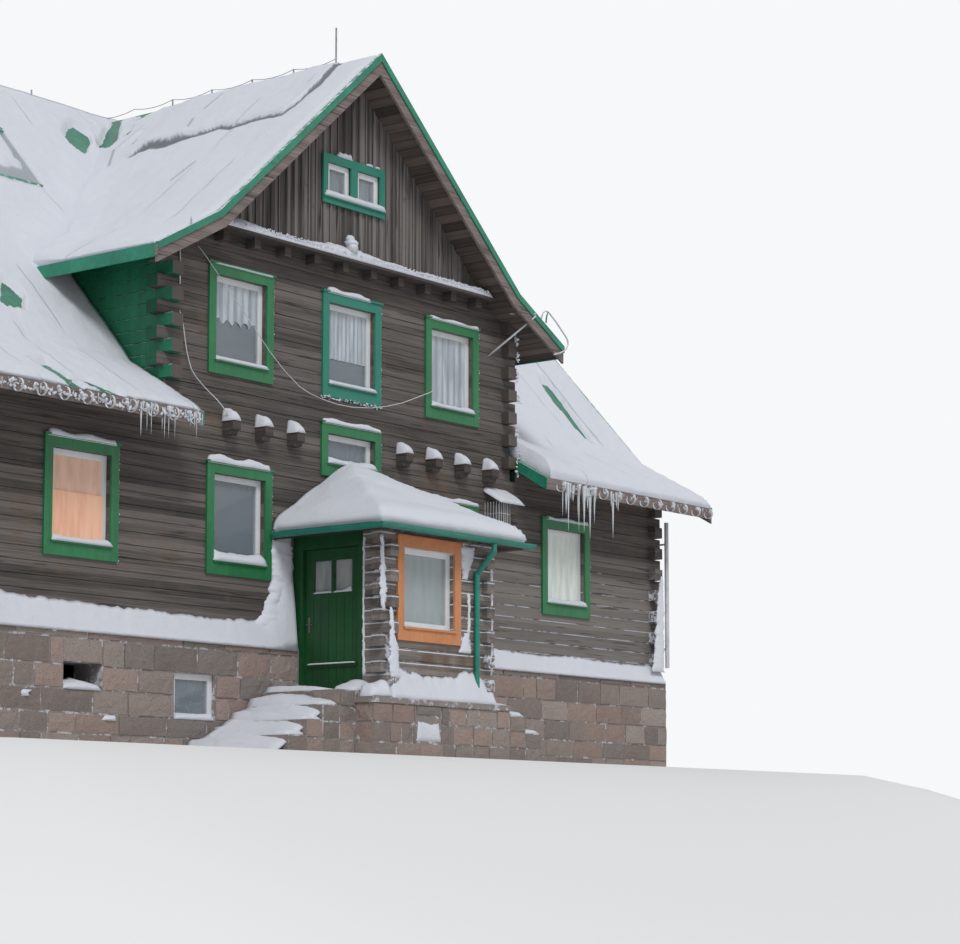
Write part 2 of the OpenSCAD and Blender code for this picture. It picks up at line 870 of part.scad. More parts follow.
// Space under a half pyramid whose tip stands on the house wall
module under_porch_roof(drop) {
    intersection() {
        along_x(-far, far) polygon([
            [eave_y, -far], [eave_y, porch_eave_z - drop], [-hy, porch_eave_z + porch_rise - drop],
            [-hy, -far]
        ]);
        along_y(-far, 0) polygon([
            [porch_x - eave_half, -far], [porch_x - eave_half, porch_eave_z - drop],
            [porch_x, porch_eave_z + porch_rise - drop], [porch_x + eave_half, porch_eave_z - drop],
            [porch_x + eave_half, -far]
        ]);
    }
}

// The three slopes of the porch roof, cut along the hips that run to its tip
module porch_roof() {
    color("whitesmoke") intersection() {
        along_x(porch_x - eave_half, porch_x + eave_half) polygon([
            [eave_y, porch_eave_z], [-hy, porch_eave_z + porch_rise],
            [-hy, porch_eave_z + porch_rise - porch_roof_t], [eave_y, porch_eave_z - porch_roof_t]
        ]);
        linear_extrude(far) polygon([
            [porch_x - eave_half, eave_y], [porch_x + eave_half, eave_y], [porch_x, -hy]
        ]);
    }
}

// The side slopes stop just short of each other at the tip and of the front slope at the hips
tip_gap = 0.5;
hip_gap = 0.1;
module porch_roof_sides() {
    hip_run = (-hy - eave_y) / eave_half;
    color("whitesmoke") translate([porch_x, 0, 0]) for (side = [0, 1]) mirror([side, 0, 0])
        intersection() {
            along_y(eave_y, -hy) polygon([
                [-eave_half, porch_eave_z], [0, porch_eave_z + porch_rise],
                [0, porch_eave_z + porch_rise - porch_roof_t], [-eave_half, porch_eave_z - porch_roof_t]
            ]);
            linear_extrude(far) polygon([
                [-eave_half, eave_y + hip_gap], [-tip_gap, -hy - tip_gap * hip_run + hip_gap],
                [-tip_gap, -hy],
                [-eave_half, -hy]
            ]);
        }
}

// Stone plinth with its coping: the front strip runs past the porch on both sides
plinth_front = 150;
plinth_left = 450;
plinth_right = 290;
base_y = -hy - base_out;
module plinth_outline(out) {
    translate([px0 - plinth_left - out, py0 - plinth_front - out])
        square([plinth_left + 1 + out, plinth_front + porch_t + out]);
    translate([px0, py0 - plinth_front - out])
        square([porch_w + plinth_right + out, base_y - py0 + plinth_front + out]);
}

module porch_plinth() {
    color("rosybrown") {
        linear_extrude(plinth_h - coping_t) plinth_outline(0);
        translate([0, 0, plinth_h - coping_t]) linear_extrude(coping_t) plinth_outline(coping_out);
    }
}

// Rough wall that steps down beside the plinth
stub_run = 400;
stub_d = 600;
stub_z = 700;
stub_fall = 250;
module plinth_stub_wall() {
    color("rosybrown") translate([px1 + plinth_right, py0 - plinth_front, 0]) {
        cube([stub_run, stub_d, stub_z]);
        cube([2 * stub_run, stub_d, stub_z - stub_fall]);
    }
}

module porch_floor() {
    color("burlywood") translate([px0 + porch_t, py0 + porch_t, plinth_h])
        cube([porch_w - 2 * porch_t, porch_d - porch_t - base_out, porch_floor_t]);
}

porch_log_out = 100;
porch_top_courses = porch_courses;
porch_sill = 850;
porch_win_x = px0 + porch_t + porch_win_in + porch_win_w / 2;
porch_win = [porch_win_x, plinth_h + porch_sill, porch_win_w, porch_win_h];

module porch_front_wall() {
    color("saddlebrown") difference() {
        translate([0, py0, plinth_h])
            log_wall(px0, px1, porch_top_courses, 0, t = porch_t, out = porch_log_out);
        translate([0, py0, 0]) hole(porch_win[0], porch_win[1], porch_win[2], porch_win[3], porch_t);
        above_porch();
    }
}

// Everything above the underside of the porch roof
module above_porch() {
    difference() {
        translate([-far / 2, -far, porch_eave_z - porch_roof_t - 1]) cube([far, far, far]);
        under_porch_roof(porch_roof_t);
    }
}

// Side walls stop at the face of the stone base and, above it, at the house wall
module porch_side(y1) {
    difference() {
        translate([px0, 0, plinth_h]) rotate([0, 0, -90])
            log_wall(-y1, -py0, porch_top_courses, 1, t = porch_t, out = porch_log_out, left = false);
        on_front() base_block();
        above_porch();
    }
}

// The stone base as a plain block, for cutting what stands against it
module base_block() {
    along_x(-hx, hx) polygon(base_section);
}

frame_y1 = -hy;
door_from_wall = 190;
frame_y0 = -hy - jamb_w - 2 * door_gap - door_w - door_from_wall;
door_y0 = frame_y0 + jamb_w + door_gap;
door_z0 = porch_floor_z + door_gap;
door_x0 = px0 + door_in;

module porch_left_wall() {
    color("saddlebrown") porch_side(frame_y0);
}

module porch_right_wall() {
    color("saddlebrown") translate([2 * porch_x, 0, 0]) mirror([1, 0, 0]) porch_side(-hy);
}

// Frame of the porch door: posts at both sides, head boarded up to the roof
module porch_door_frame() {
    color("darkgreen") difference() {
        translate([px0, frame_y0, plinth_h]) cube([porch_t, frame_y1 - frame_y0, far / 10]);
        translate([px0 - 1, door_y0 - door_gap, porch_floor_z])
            cube([porch_t + 2, door_w + 2 * door_gap, door_h + 2 * door_gap]);
        on_front() base_block();
        above_porch();
    }
}

// Two small lights side by side in the upper part of the door
light_h = 470;
light_pane_w = 340;
light_bar = 60;
light_margin = (door_w - 2 * light_pane_w - light_bar) / 2;
light_top = 170;
pane_t = 8;
module door_lights(x0, depth) {
    for (i = [0, 1])
        translate([x0, door_y0 + light_margin + i * (light_pane_w + light_bar),
            door_z0 + door_h - light_top - light_h]) cube([depth, light_pane_w, light_h]);
}

// Boarded leaf with open joints between its boards and a weather bar low down
door_boards = 7;
groove_w = 8;
groove_d = 5;
bar_z = 390;
bar_h = 45;
bar_out = 25;
bar_in = 60;
module porch_door() {
    board_pitch = door_w / door_boards;
    color("darkgreen") difference() {
        translate([door_x0, door_y0, door_z0]) cube([door_t, door_w, door_h]);
        door_lights(door_x0 - 1, door_t + 2);
        for (i = [1 : door_boards - 1])
            translate([door_x0 - 1, door_y0 + i * board_pitch - groove_w / 2, door_z0 - 1])
                cube([groove_d + 1, groove_w, door_h - light_top - light_h - 60]);
    }
    color("darkgreen") translate([door_x0 - bar_out, door_y0 + bar_in, door_z0 + bar_z])
        cube([bar_out + groove_d, door_w - 2 * bar_in, bar_h]);
}

module porch_door_panes() {
    color("lightblue") door_lights(door_x0 + (door_t - pane_t) / 2, pane_t);
}

// Lever handles on their long plates, one on each face of the leaf
handle_z = 1020;
handle_in = 75;
plate_w = 40;
plate_h = 220;
plate_t = 8;
stem_r = 9;
stem_l = 45;
lever_l = 120;
module door_handle() {
    translate([-plate_t, -plate_w / 2, -plate_h / 2]) cube([plate_t, plate_w, plate_h]);
    translate([-plate_t - stem_l, 0, 0]) rotate([0, 90, 0]) cylinder(r = stem_r, h = stem_l + 1, $fn = 24);
    translate([-plate_t - stem_l, stem_r, 0]) rotate([90, 0, 0])
        cylinder(r = stem_r, h = lever_l, $fn = 24);
}

// Hinge knuckles about the front edge of the inner face, where the leaf turns
knuckle_gap = 0.3;
knuckle_l = 95;
knuckle_in = 240;
module hinge_knuckle() {
    r = door_gap - knuckle_gap;
    difference() {
        cylinder(r = r, h = knuckle_l, $fn = 24);
        translate([-2 * r, 0, -1]) cube([2 * r, 2 * r, knuckle_l + 2]);
    }
}

module porch_door_fittings() {
    color("gray") for (side = [0, 1])
        translate([door_x0 + side * door_t, door_y0 + door_w - handle_in, door_z0 + handle_z])
            mirror([side, 0, 0]) door_handle();
    color("gray") for (z = [knuckle_in, (door_h - knuckle_l) / 2, door_h - knuckle_in - knuckle_l])
        translate([door_x0 + door_t, door_y0, door_z0 + z]) hinge_knuckle();
}

module porch_window_surround() {
    color("chocolate") translate([0, py0, 0]) surround(porch_win);
}

// Half-round gutter around the three eaves of the porch, mitred at the corners
gutter_t = 4;
gutter_drop = 40;
gutter_gap = 80;
mitre_lap = 2;
module half_pipe(l, r) {
    linear_extrude(l) difference() {
        circle(r = r, $fn = 32);
        translate([-2 * r, 0]) square([4 * r, 2 * r]);
    }
}

module gutter_run(l) {
    difference() {
        half_pipe(l, gutter_r);
        translate([0, 0, gutter_t]) half_pipe(l - 2 * gutter_t, gutter_r - gutter_t);
    }
}

module porch_gutter() {
    eaves_gutter();
    porch_downpipe();
}

module eaves_gutter() {
    gz = porch_eave_z - gutter_drop;
    reach = eave_half + 2 * gutter_r;
    side_l = -hy - gutter_gap - eave_y + 2 * gutter_r;
    color("teal") translate([porch_x, eave_y, gz]) {
        intersection() {
            translate([-reach - gutter_t, -gutter_r, 0]) rotate([90, 0, 90])
                gutter_run(2 * (reach + gutter_t));
            translate([0, 0, -2 * gutter_r]) linear_extrude(4 * gutter_r) polygon([
                [-eave_half - mitre_lap, 0], [eave_half + mitre_lap, 0],
                [reach + mitre_lap, -2 * gutter_r], [-reach - mitre_lap, -2 * gutter_r]
            ]);
        }
        for (side = [0, 1]) mirror([side, 0, 0]) intersection() {
            translate([-eave_half - gutter_r, side_l - 2 * gutter_r, 0]) rotate([90, 0, 0])
                gutter_run(side_l + gutter_t);
            translate([0, 0, -2 * gutter_r]) linear_extrude(4 * gutter_r) polygon([
                [-eave_half, 0], [-reach, -2 * gutter_r], [-reach, far], [-eave_half, far]
            ]);
        }
    }
}

// Downpipe: out of the gutter, back to the porch wall in a swan neck, then down
pipe_t = 3;
pipe_in = 370;
pipe_foot = 150;
pipe_seat = 0.3;
pipe_off = 8;
pipe_neck = 110;
pipe_back = 430;
pipe_x = px1 - pipe_in;
pipe_top = porch_eave_z - gutter_drop - gutter_r - pipe_seat;
pipe_wall_y = py0 - pipe_r - pipe_off;
module pipe_run(r, more) {
    points = [
        [pipe_x, eave_y - gutter_r, pipe_top + more],
        [pipe_x, eave_y - gutter_r, pipe_top - pipe_neck],
        [pipe_x, pipe_wall_y, pipe_top - pipe_back],
        [pipe_x, pipe_wall_y, plinth_h + pipe_foot - more]
    ];
    for (i = [0 : 2]) {
        d = points[i + 1] - points[i];
        translate(points[i]) rotate([acos(d[2] / norm(d)), 0, d[1] > 0 ? 180 : 0])
            cylinder(r = r, h = norm(d), $fn = 32);
    }
    for (i = [1, 2]) translate(points[i]) sphere(r = r, $fn = 32);
}

module porch_downpipe() {
    clip_z = [plinth_h + 2.5 * course_h, plinth_h + (porch_courses - 4.5) * course_h];
    color("teal") difference() {
        union() {
            pipe_run(pipe_r, 0);
            for (z = clip_z) translate([pipe_x, pipe_wall_y, z - bar_h / 2]) {
                cylinder(r = pipe_r + 5, h = bar_h, $fn = 32);
                translate([-pipe_r / 2, 0, 0]) cube([pipe_r, pipe_r + pipe_off, bar_h]);
            }
        }
        pipe_run(pipe_r - pipe_t, 1);
    }
}

// Landing in front of the door and the steps that lead up to it from the left
step_n = 3;
module porch_steps() {
    y0 = py0 + porch_t;
    color("rosybrown") for (i = [0 : step_n])
        translate([px0 - landing_w - i * step_run, y0, 0])
            cube([landing_w + i * step_run, base_y - y0, porch_floor_z - i * step_rise]);
}

// Short posts along the ridges, notched over them, and the tall rod at the front
post_r = 14;
post_h = 130;
post_pitch = 890;
post_in = 340;
rod_h = 620;
module ridge_post(h) {
    translate([0, 0, -2 * post_r]) cylinder(r = post_r, h = h + 2 * post_r, $fn = 24);
}

module ridge_posts() {
    wing_n = floor((hy - post_in) / post_pitch);
    main_n = floor((hx - post_in) / post_pitch);
    color("gray") {
        for (side = [0, 1]) mirror([0, side, 0]) difference() {
            for (i = [0 : wing_n - 1]) translate([0, -hy + post_in + i * post_pitch, wing_ridge_z])
                ridge_post(i == 0 && side == 0 ? rod_h : post_h);
            wing_top_block();
        }
        for (side = [0, 1]) mirror([side, 0, 0]) difference() {
            for (i = [0 : main_n - 1]) translate([-hx + post_in + i * post_pitch, 0, ridge_z])
                ridge_post(post_h);
            under_main_top();
        }
    }
}

module wing_top_block() {
    line = wing_line(0, wing_half);
    along_y(-far, far) polygon(concat(
        [[-wing_half, 0]], mirrored(back_to_front(line)), [line[1], line[2]], [[wing_half, 0]]));
}

// Roof window: a frame lying on the slope around a hole, with its glass inside
light_frame = 70;
light_up = 90;
module roof_window() {
    color("dimgray") difference() {
        intersection() {
            translate([light_x - light_frame, light_y0 - light_frame, 0])
                cube([light_w + 2 * light_frame, light_y1 - light_y0 + 2 * light_frame, far]);
            translate([0, 0, light_up]) under_main_top();
        }
        under_main_top();
        roof_light_hole();
    }
}

// Its glass lies in the frame, in line with the slope
light_glass = 20;
module roof_window_pane() {
    difference() {
        intersection() {
            roof_light_hole();
            translate([0, 0, light_up - light_glass]) under_main_top();
        }
        translate([0, 0, light_up - 2 * light_glass]) under_main_top();
    }
}

// Round lamp on a short post that stands on the gable ledge
lamp_x = -250;
lamp_y = -hy - 230;
lamp_r = 95;
lamp_post_r = 40;
lamp_post_h = 90;
module wall_lamps() {
    gable_lamp();
    wall_cage();
}

module gable_lamp() {
    foot = attic_z - ledge_fall;
    color("gray") difference() {
        translate([lamp_x, lamp_y, foot]) {
            cylinder(r = lamp_post_r, h = ledge_fall + lamp_post_h, $fn = 32);
            translate([0, 0, ledge_fall + lamp_post_h]) sphere(r = lamp_r, $fn = 32);
        }
        along_x(-far, far) polygon([
            [-hy - 2 * ledge_out, foot - ledge_t], [-hy - 2 * ledge_out, foot - ledge_fall],
            [-hy - ledge_out, foot], [-hy, attic_z], [-hy, foot - ledge_t]
        ]);
    }
}

// Sloping lid on the wall with a wire cage below its left part
cage_x = 3330;
cage_z = 3930;
cage_w = 290;
cage_d = 300;
cage_h = 350;
cage_wire = 8;
cage_rim = 12;
cage_lid_w = 620;
cage_lid_t = 15;
cage_bars = 5;
module wall_cage() {
    color("silver") on_front() translate([cage_x, 0, cage_z]) {
        translate([-20, 0, 0]) along_x(0, cage_lid_w) polygon([
            [0, cage_h + 200], [0, cage_h + 200 + cage_lid_t],
            [-cage_d - 40, cage_h + cage_lid_t], [-cage_d - 40, cage_h]
        ]);
        for (i = [0 : cage_bars]) {
            x = i * (cage_w - cage_wire) / cage_bars;
            y = -cage_d + i * (cage_d - cage_wire) / cage_bars;
            translate([x, -cage_d, 0]) cube([cage_wire, cage_wire, cage_h + 30]);
            for (side = [0, cage_w - cage_wire])
                translate([side, y, 0]) cube([cage_wire, cage_wire, cage_h + 30 - i * 4]);
        }
        for (z = [0, cage_h / 2]) translate([0, 0, z]) difference() {
            translate([0, -cage_d, 0]) cube([cage_w, cage_d, cage_wire]);
            translate([cage_rim, -cage_d + cage_rim, -1])
                cube([cage_w - 2 * cage_rim, cage_d, cage_wire + 2]);
        }
    }
}

// Points of the thin wire that hangs from the gable wall to the right upper window
front_wire_r = 6;
front_wire_path = [
    [-3360, -5456, 7290], [-3330, -5490, 7240], [-3240, -5525, 7130], [-3100, -5532, 7000],
    [-2820, -5532, 6765], [-2540, -5532, 6530], [-2230, -5532, 6250], [-1910, -5532, 5970],
    [-1590, -5530, 5735], [-1260, -5525, 5550], [-1000, -5515, 5475], [-700, -5505, 5430],
    [-350, -5500, 5400], [0, -5500, 5405], [450, -5500, 5455], [800, -5510, 5530],
    [1180, -5520, 5640], [1540, -5525, 5780], [1800, -5525, 5880], [1915, -5505, 5925],
    [1955, -5450, 5945], [1965, -5381, 5950]
];

// Points of the thicker wire from the wing corner down to the first beam end
corner_wire_r = 8;
corner_wire_path = [
    [-3720, -5460, 6290], [-3715, -5490, 6230], [-3700, -5510, 6120], [-3675, -5510, 6010],
    [-3650, -5510, 5880], [-3620, -5510, 5740], [-3575, -5512, 5600], [-3520, -5515, 5470],
    [-3430, -5520, 5370], [-3320, -5525, 5285], [-3170, -5530, 5190], [-3020, -5540, 5100],
    [-2920, -5550, 5020], [-2850, -5560, 4950], [-2805, -5565, 4880], [-2795, -5570, 4827]
];

// A round wire as a tube of eight sides along its points
wire_sides = 8;
function along(path, i) =
    let (d = path[min(i + 1, len(path) - 1)] - path[max(i - 1, 0)]) d / norm(d);
function wire_ring(path, r, i) =
    let (d = along(path, i), side = cross(d, [0, 1, 0]) / norm(cross(d, [0, 1, 0])), up = cross(side, d))
        [for (k = [0 : wire_sides - 1])
            path[i] + r * (cos(k * 360 / wire_sides) * side + sin(k * 360 / wire_sides) * up)];
module wire(path, r) {
    n = len(path);
    ends = [[for (k = [wire_sides - 1 : -1 : 0]) k],
        [for (k = [0 : wire_sides - 1]) (n - 1) * wire_sides + k]];
    sides = [for (i = [0 : n - 2], k = [0 : wire_sides - 1])
        [i * wire_sides + k, i * wire_sides + (k + 1) % wire_sides,
            (i + 1) * wire_sides + (k + 1) % wire_sides, (i + 1) * wire_sides + k]];
    polyhedron(points = [for (i = [0 : n - 1]) each wire_ring(path, r, i)], faces = concat(ends, sides));
}

module front_wire() {
    color("gray") wire(front_wire_path, front_wire_r);
}

module corner_wire() {
    color("gray") wire(corner_wire_path, corner_wire_r);
}

// Pipe up the right corner, held off the log ends by two arms
riser_r = 38;
riser_out = 165;
riser_arm = 30;
riser_z0 = base_h + 130;
riser_top = eave_z - 260;
module corner_pipe() {
    color("gray") on_front() translate([hx + log_end - riser_r, 0, 0]) {
        translate([0, -riser_out, riser_z0]) cylinder(r = riser_r, h = riser_top - riser_z0, $fn = 32);
        for (n = [2, storey_courses - 4])
            translate([-riser_arm / 2, -riser_out, ground_z + (n + 0.5) * course_h - riser_arm / 2])
                cube([riser_arm, riser_out, riser_arm]);
    }
}

basement_floor();
base_wall_front();
base_wall_back();
base_wall_left();
base_wall_right();
ground_floor();
upper_floor();
upper_floor_sides();
attic_floor();
front_wall_left();
front_wall_right();
front_wall_over_door();
back_wall();
left_wall();
right_wall();
front_upper_wall();
back_upper_wall();
end_upper_walls();
wing_side_walls();
wing_gables();
end_gables();
main_roof_front_left();
main_roof_front_right();
main_roof_back_left();
main_roof_back_right();
wing_roof_left();
wing_roof_right();
bargeboards();
verge_flashings();
eave_boards();
wing_eave_boards();
gutter_hooks();
floor_beam_ends();
attic_joist_ends();
gable_ledges();
window_surrounds();
window_frames();
window_panes();
porch_plinth();
plinth_stub_wall();
porch_floor();
porch_front_wall();
porch_left_wall();
porch_right_wall();
porch_door_frame();
porch_door();
porch_door_panes();
porch_door_fittings();
porch_window_surround();
porch_roof();
porch_roof_sides();
porch_gutter();
porch_steps();
ridge_posts();
roof_window();
wall_lamps();
corner_pipe();
front_wire();
corner_wire();
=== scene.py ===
import math
import random

import bmesh
import bpy
import numpy as np
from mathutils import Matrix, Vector, noise


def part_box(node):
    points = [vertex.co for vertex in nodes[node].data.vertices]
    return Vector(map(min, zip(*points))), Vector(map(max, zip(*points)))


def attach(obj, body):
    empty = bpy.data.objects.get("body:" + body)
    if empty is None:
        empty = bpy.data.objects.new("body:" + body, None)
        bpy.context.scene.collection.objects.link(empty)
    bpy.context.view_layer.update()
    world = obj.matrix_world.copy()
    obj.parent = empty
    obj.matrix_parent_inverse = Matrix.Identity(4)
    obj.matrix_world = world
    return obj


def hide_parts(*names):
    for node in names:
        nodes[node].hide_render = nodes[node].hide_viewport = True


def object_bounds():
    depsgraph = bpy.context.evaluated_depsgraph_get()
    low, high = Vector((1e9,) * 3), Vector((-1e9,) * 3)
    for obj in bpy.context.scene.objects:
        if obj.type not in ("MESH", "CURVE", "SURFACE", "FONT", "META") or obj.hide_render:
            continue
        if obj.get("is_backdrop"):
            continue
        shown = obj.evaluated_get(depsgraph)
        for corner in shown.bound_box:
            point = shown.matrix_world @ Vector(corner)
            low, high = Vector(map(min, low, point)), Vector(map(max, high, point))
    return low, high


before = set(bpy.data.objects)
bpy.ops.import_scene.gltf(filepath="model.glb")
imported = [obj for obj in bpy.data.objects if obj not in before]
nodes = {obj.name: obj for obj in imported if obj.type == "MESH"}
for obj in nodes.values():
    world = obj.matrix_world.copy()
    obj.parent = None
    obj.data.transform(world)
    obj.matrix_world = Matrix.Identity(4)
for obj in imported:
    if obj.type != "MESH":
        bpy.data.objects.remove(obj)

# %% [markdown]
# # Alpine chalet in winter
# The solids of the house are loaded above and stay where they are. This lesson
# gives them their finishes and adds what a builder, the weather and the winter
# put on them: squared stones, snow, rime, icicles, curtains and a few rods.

cad_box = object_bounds()
HOUSE, LEAF = "house", "porch_door_leaf"
print("solids:", len(nodes), "box:", [list(c) for c in cad_box])


def show(name, data):
    """A new object at the origin that holds the data."""
    o = bpy.data.objects.new(name, data)
    bpy.context.scene.collection.objects.link(o)
    return o


# %% [markdown]
# ## Camera
# The photograph was taken from lower ground, left of the house, with a long
# lens. A pitched camera with a small shift keeps other views of the same
# camera centred on the house.

# %% Camera
LENS_PX, PHOTO_PX, SENSOR = 2560.267, 960.0, 36.0
PITCH, YAW = 0.1092, 0.6631
cam_data = bpy.data.cameras.new("camera")
cam_data.sensor_width = SENSOR
cam_data.lens = LENS_PX * SENSOR / PHOTO_PX
cam_data.shift_y = 0.1
cam_data.clip_end = 400.0
camera = show("camera", cam_data)
camera.location = (-29.1784, -30.745, -1.2841)
camera.rotation_euler = (math.pi / 2 + PITCH, 0.0, YAW - math.pi / 2)
bpy.context.scene.camera = camera
print("lens", round(cam_data.lens, 2), "mm")

# %% [markdown]
# ## Short calls for node trees
# Every finish is a node tree. "put" adds a node and joins its inputs. What it
# gives back can be added and multiplied like a number, and each sum becomes a
# Math node, so the trees read like formulas.

# %% Links and nodes
class Link:
    """One output of a node. ["name"] is another output of the same node."""
    def __init__(self, node, key=0):
        self.node, self.tree = node, node.id_data
        self.socket = node.outputs[key] if len(node.outputs) else None

    def __getitem__(self, key):
        return Link(self.node, key)

    def __add__(self, other):
        return calc("ADD", self, other)

    def __sub__(self, other):
        return calc("SUBTRACT", self, other)

    def __rsub__(self, other):
        return calc("SUBTRACT", other, self)

    def __mul__(self, other):
        return calc("MULTIPLY", self, other)

    def __truediv__(self, other):
        return calc("DIVIDE", self, other)

    def __abs__(self):
        return calc("ABSOLUTE", self)


def put(tree, kind, ins=None, **props):
    n = tree.nodes.new(kind if kind.startswith(("Geometry", "Function", "Node")) else "ShaderNode" + kind)
    for k, v in props.items():
        setattr(n, k, v)
    for k, v in (ins or {}).items():
        if isinstance(v, Link):
            tree.links.new(v.socket, n.inputs[k])
        else:
            n.inputs[k].default_value = v
    return Link(n)


def calc(op, a, b=0.0):
    return put((a if isinstance(a, Link) else b).tree, "Math", {0: a, 1: b}, operation=op)


def larger(a, b):
    return calc("MAXIMUM", a, b)


# %% The usual steps
def mix(fac, a, b):
    """A colour from a to b."""
    a, b = [(*c, 1.0) if isinstance(c, tuple) else c for c in (a, b)]
    return put(fac.tree, "Mix", {0: fac, 6: a, 7: b}, data_type="RGBA")[2]


def blend(fac, a, b):
    """A number from a to b."""
    return put(fac.tree, "Mix", {0: fac, 2: a, 3: b})


def cloud(pos, scale, detail=3.0, rough=0.55):
    ins = {"Vector": pos, "Scale": scale, "Detail": detail, "Roughness": rough}
    return put(pos.tree, "TexNoise", ins)["Fac"]


def step(value, lo, hi):
    return put(value.tree, "MapRange", {0: value, 1: lo, 2: hi}, interpolation_type="SMOOTHSTEP")


def times(pos, x, y, z):
    return put(pos.tree, "VectorMath", {0: pos, 1: (x, y, z)}, operation="MULTIPLY")


def split(vector):
    parts = put(vector.tree, "SeparateXYZ", {0: vector})
    return parts[0], parts[1], parts[2]


def join(x, y, z):
    return put(x.tree, "CombineXYZ", {0: x, 1: y, 2: z})


def facing(pos):
    """The three parts of the way that the surface faces."""
    return split(put(pos.tree, "TexCoord")["Normal"])


def stored(pos, name):
    return put(pos.tree, "Attribute", attribute_name=name)["Fac"]


def each(value, pitch):
    """A random tone for each board or course of this pitch."""
    return put(value.tree, "TexWhiteNoise", {"W": calc("FLOOR", value / pitch)}, noise_dimensions="1D")["Value"]


# %% [markdown]
# ## Effects used in several finishes
# Wood grain runs along a board, frost settles on whatever looks up, and old
# paint and stone are never one tone. Each is one group, so all the finishes
# share it.

# %% Shared groups
F, V = "NodeSocketFloat", "NodeSocketVector"


def group(name, ins, outs, kind="ShaderNodeTree"):
    """A new group and its inputs. ins and outs: name, kind of socket, value."""
    g = bpy.data.node_groups.new(name, kind)
    for way, rows in (("INPUT", ins), ("OUTPUT", outs)):
        for label, socket, *value in rows:
            s = g.interface.new_socket(label, in_out=way, socket_type=socket)
            if value:
                s.default_value = value[0]
    return g, put(g, "NodeGroupInput")


grain_group, gi = group("wood grain", [("Along X", V)], [("Tone", F), ("Height", F), ("Crack", F)])
along = gi["Along X"]
fine = cloud(times(along, 1.2, 55.0, 55.0), 1.0, 4.0)
tone = fine * 0.55 + cloud(times(along, 0.35, 9.0, 9.0), 1.0, 3.0) * 0.45
crack = step(cloud(times(along, 0.9, 26.0, 26.0), 1.0, 2.0), 0.63, 0.7)
put(grain_group, "NodeGroupOutput", {"Tone": tone, "Height": fine - crack * 0.7, "Crack": crack})

frost_group, gi = group("frost", [("Position", V), ("Up", F, 0.5), ("Stray", F, 0.25)], [("Mask", F)])
pos = gi["Position"]
uneven = facing(pos)[2] + (cloud(pos, 9.0, 5.0, 0.7) - 0.5) * 1.4
settled = step(uneven, 1.0 - gi["Up"], 1.12 - gi["Up"])
blown = step(cloud(pos, 26.0, 6.0, 0.75) + (cloud(pos, 1.3) - 0.5) * 0.5, 0.86 - gi["Stray"] * 0.3, 0.86)
put(frost_group, "NodeGroupOutput", {"Mask": larger(settled, blown)})

patch_group, gi = group("patchy tone", [("Position", V), ("Size", F, 1.0)], [("Tone", F)])
sized = put(patch_group, "VectorMath", {0: gi["Position"], "Scale": gi["Size"]}, operation="SCALE")
put(patch_group, "NodeGroupOutput", {"Tone": cloud(sized, 1.0, 4.0) * 0.6 + cloud(sized, 7.0, 3.0) * 0.4})
print("groups:", [x.name for x in bpy.data.node_groups])

# %% The groups as calls
FROST = (0.66, 0.69, 0.755)


def grain(along):
    return put(along.tree, "Group", {"Along X": along}, node_tree=grain_group)


def patchy(pos, size):
    return put(pos.tree, "Group", {"Position": pos, "Size": size}, node_tree=patch_group)


def frost_on(pos, up, stray):
    return put(pos.tree, "Group", {"Position": pos, "Up": up, "Stray": stray}, node_tree=frost_group)


def frosted(pos, colour, up, stray):
    """The colour under frost. up: how far round it settles, stray: how much is blown on."""
    return mix(frost_on(pos, up, stray), colour, FROST)


# %% [markdown]
# ## From a tree to a finish
# Each finish is one Principled shader. Its build function returns a colour, a
# height that a Bump node turns into light and shade and, where it varies, a
# roughness.

# %% Finish builder
def blank(owner):
    """The node tree of a material or world, emptied."""
    owner.use_nodes = True
    owner.node_tree.nodes.clear()
    return owner.node_tree


def finish(name, build, rough=0.8, depth=0.003, metal=0.0, alpha=1.0, specular=0.5):
    m = bpy.data.materials.new(name)
    t = blank(m)
    colour, height, *roughs = build(put(t, "TexCoord")["Object"])
    bump = put(t, "Bump", {"Height": height, "Distance": depth, "Strength": 1.0})
    shader = {"Base Color": colour, "Normal": bump, "Roughness": roughs[0] if roughs else rough, "Metallic": metal,
              "Alpha": alpha, "Specular IOR Level": specular}
    put(t, "OutputMaterial", {0: put(t, "BsdfPrincipled", shader)})
    print("finish:", name)
    return m


# %% [markdown]
# ### Old logs
# The squared logs have weathered to a dark grey brown, redder where the sun
# reaches them and greyer low down on the right. Rime sits in the joint over
# each log. The grain follows the log, so walls along X and walls along Y get
# the same finish with the axes swapped.

# %% Logs
COURSE, LOG_FOOT = 0.186, 1.75


def zone(a, z, a0, a1, z0, z1, soft=0.09):
    """1 inside a box on a wall, falling to 0 over its soft rim."""
    wide = step(a, a0 - soft, a0 + soft) * step(a, a1 + soft, a1 - soft)
    return wide * (step(z, z0 - soft, z0 + soft) * step(z, z1 + soft, z1 - soft))


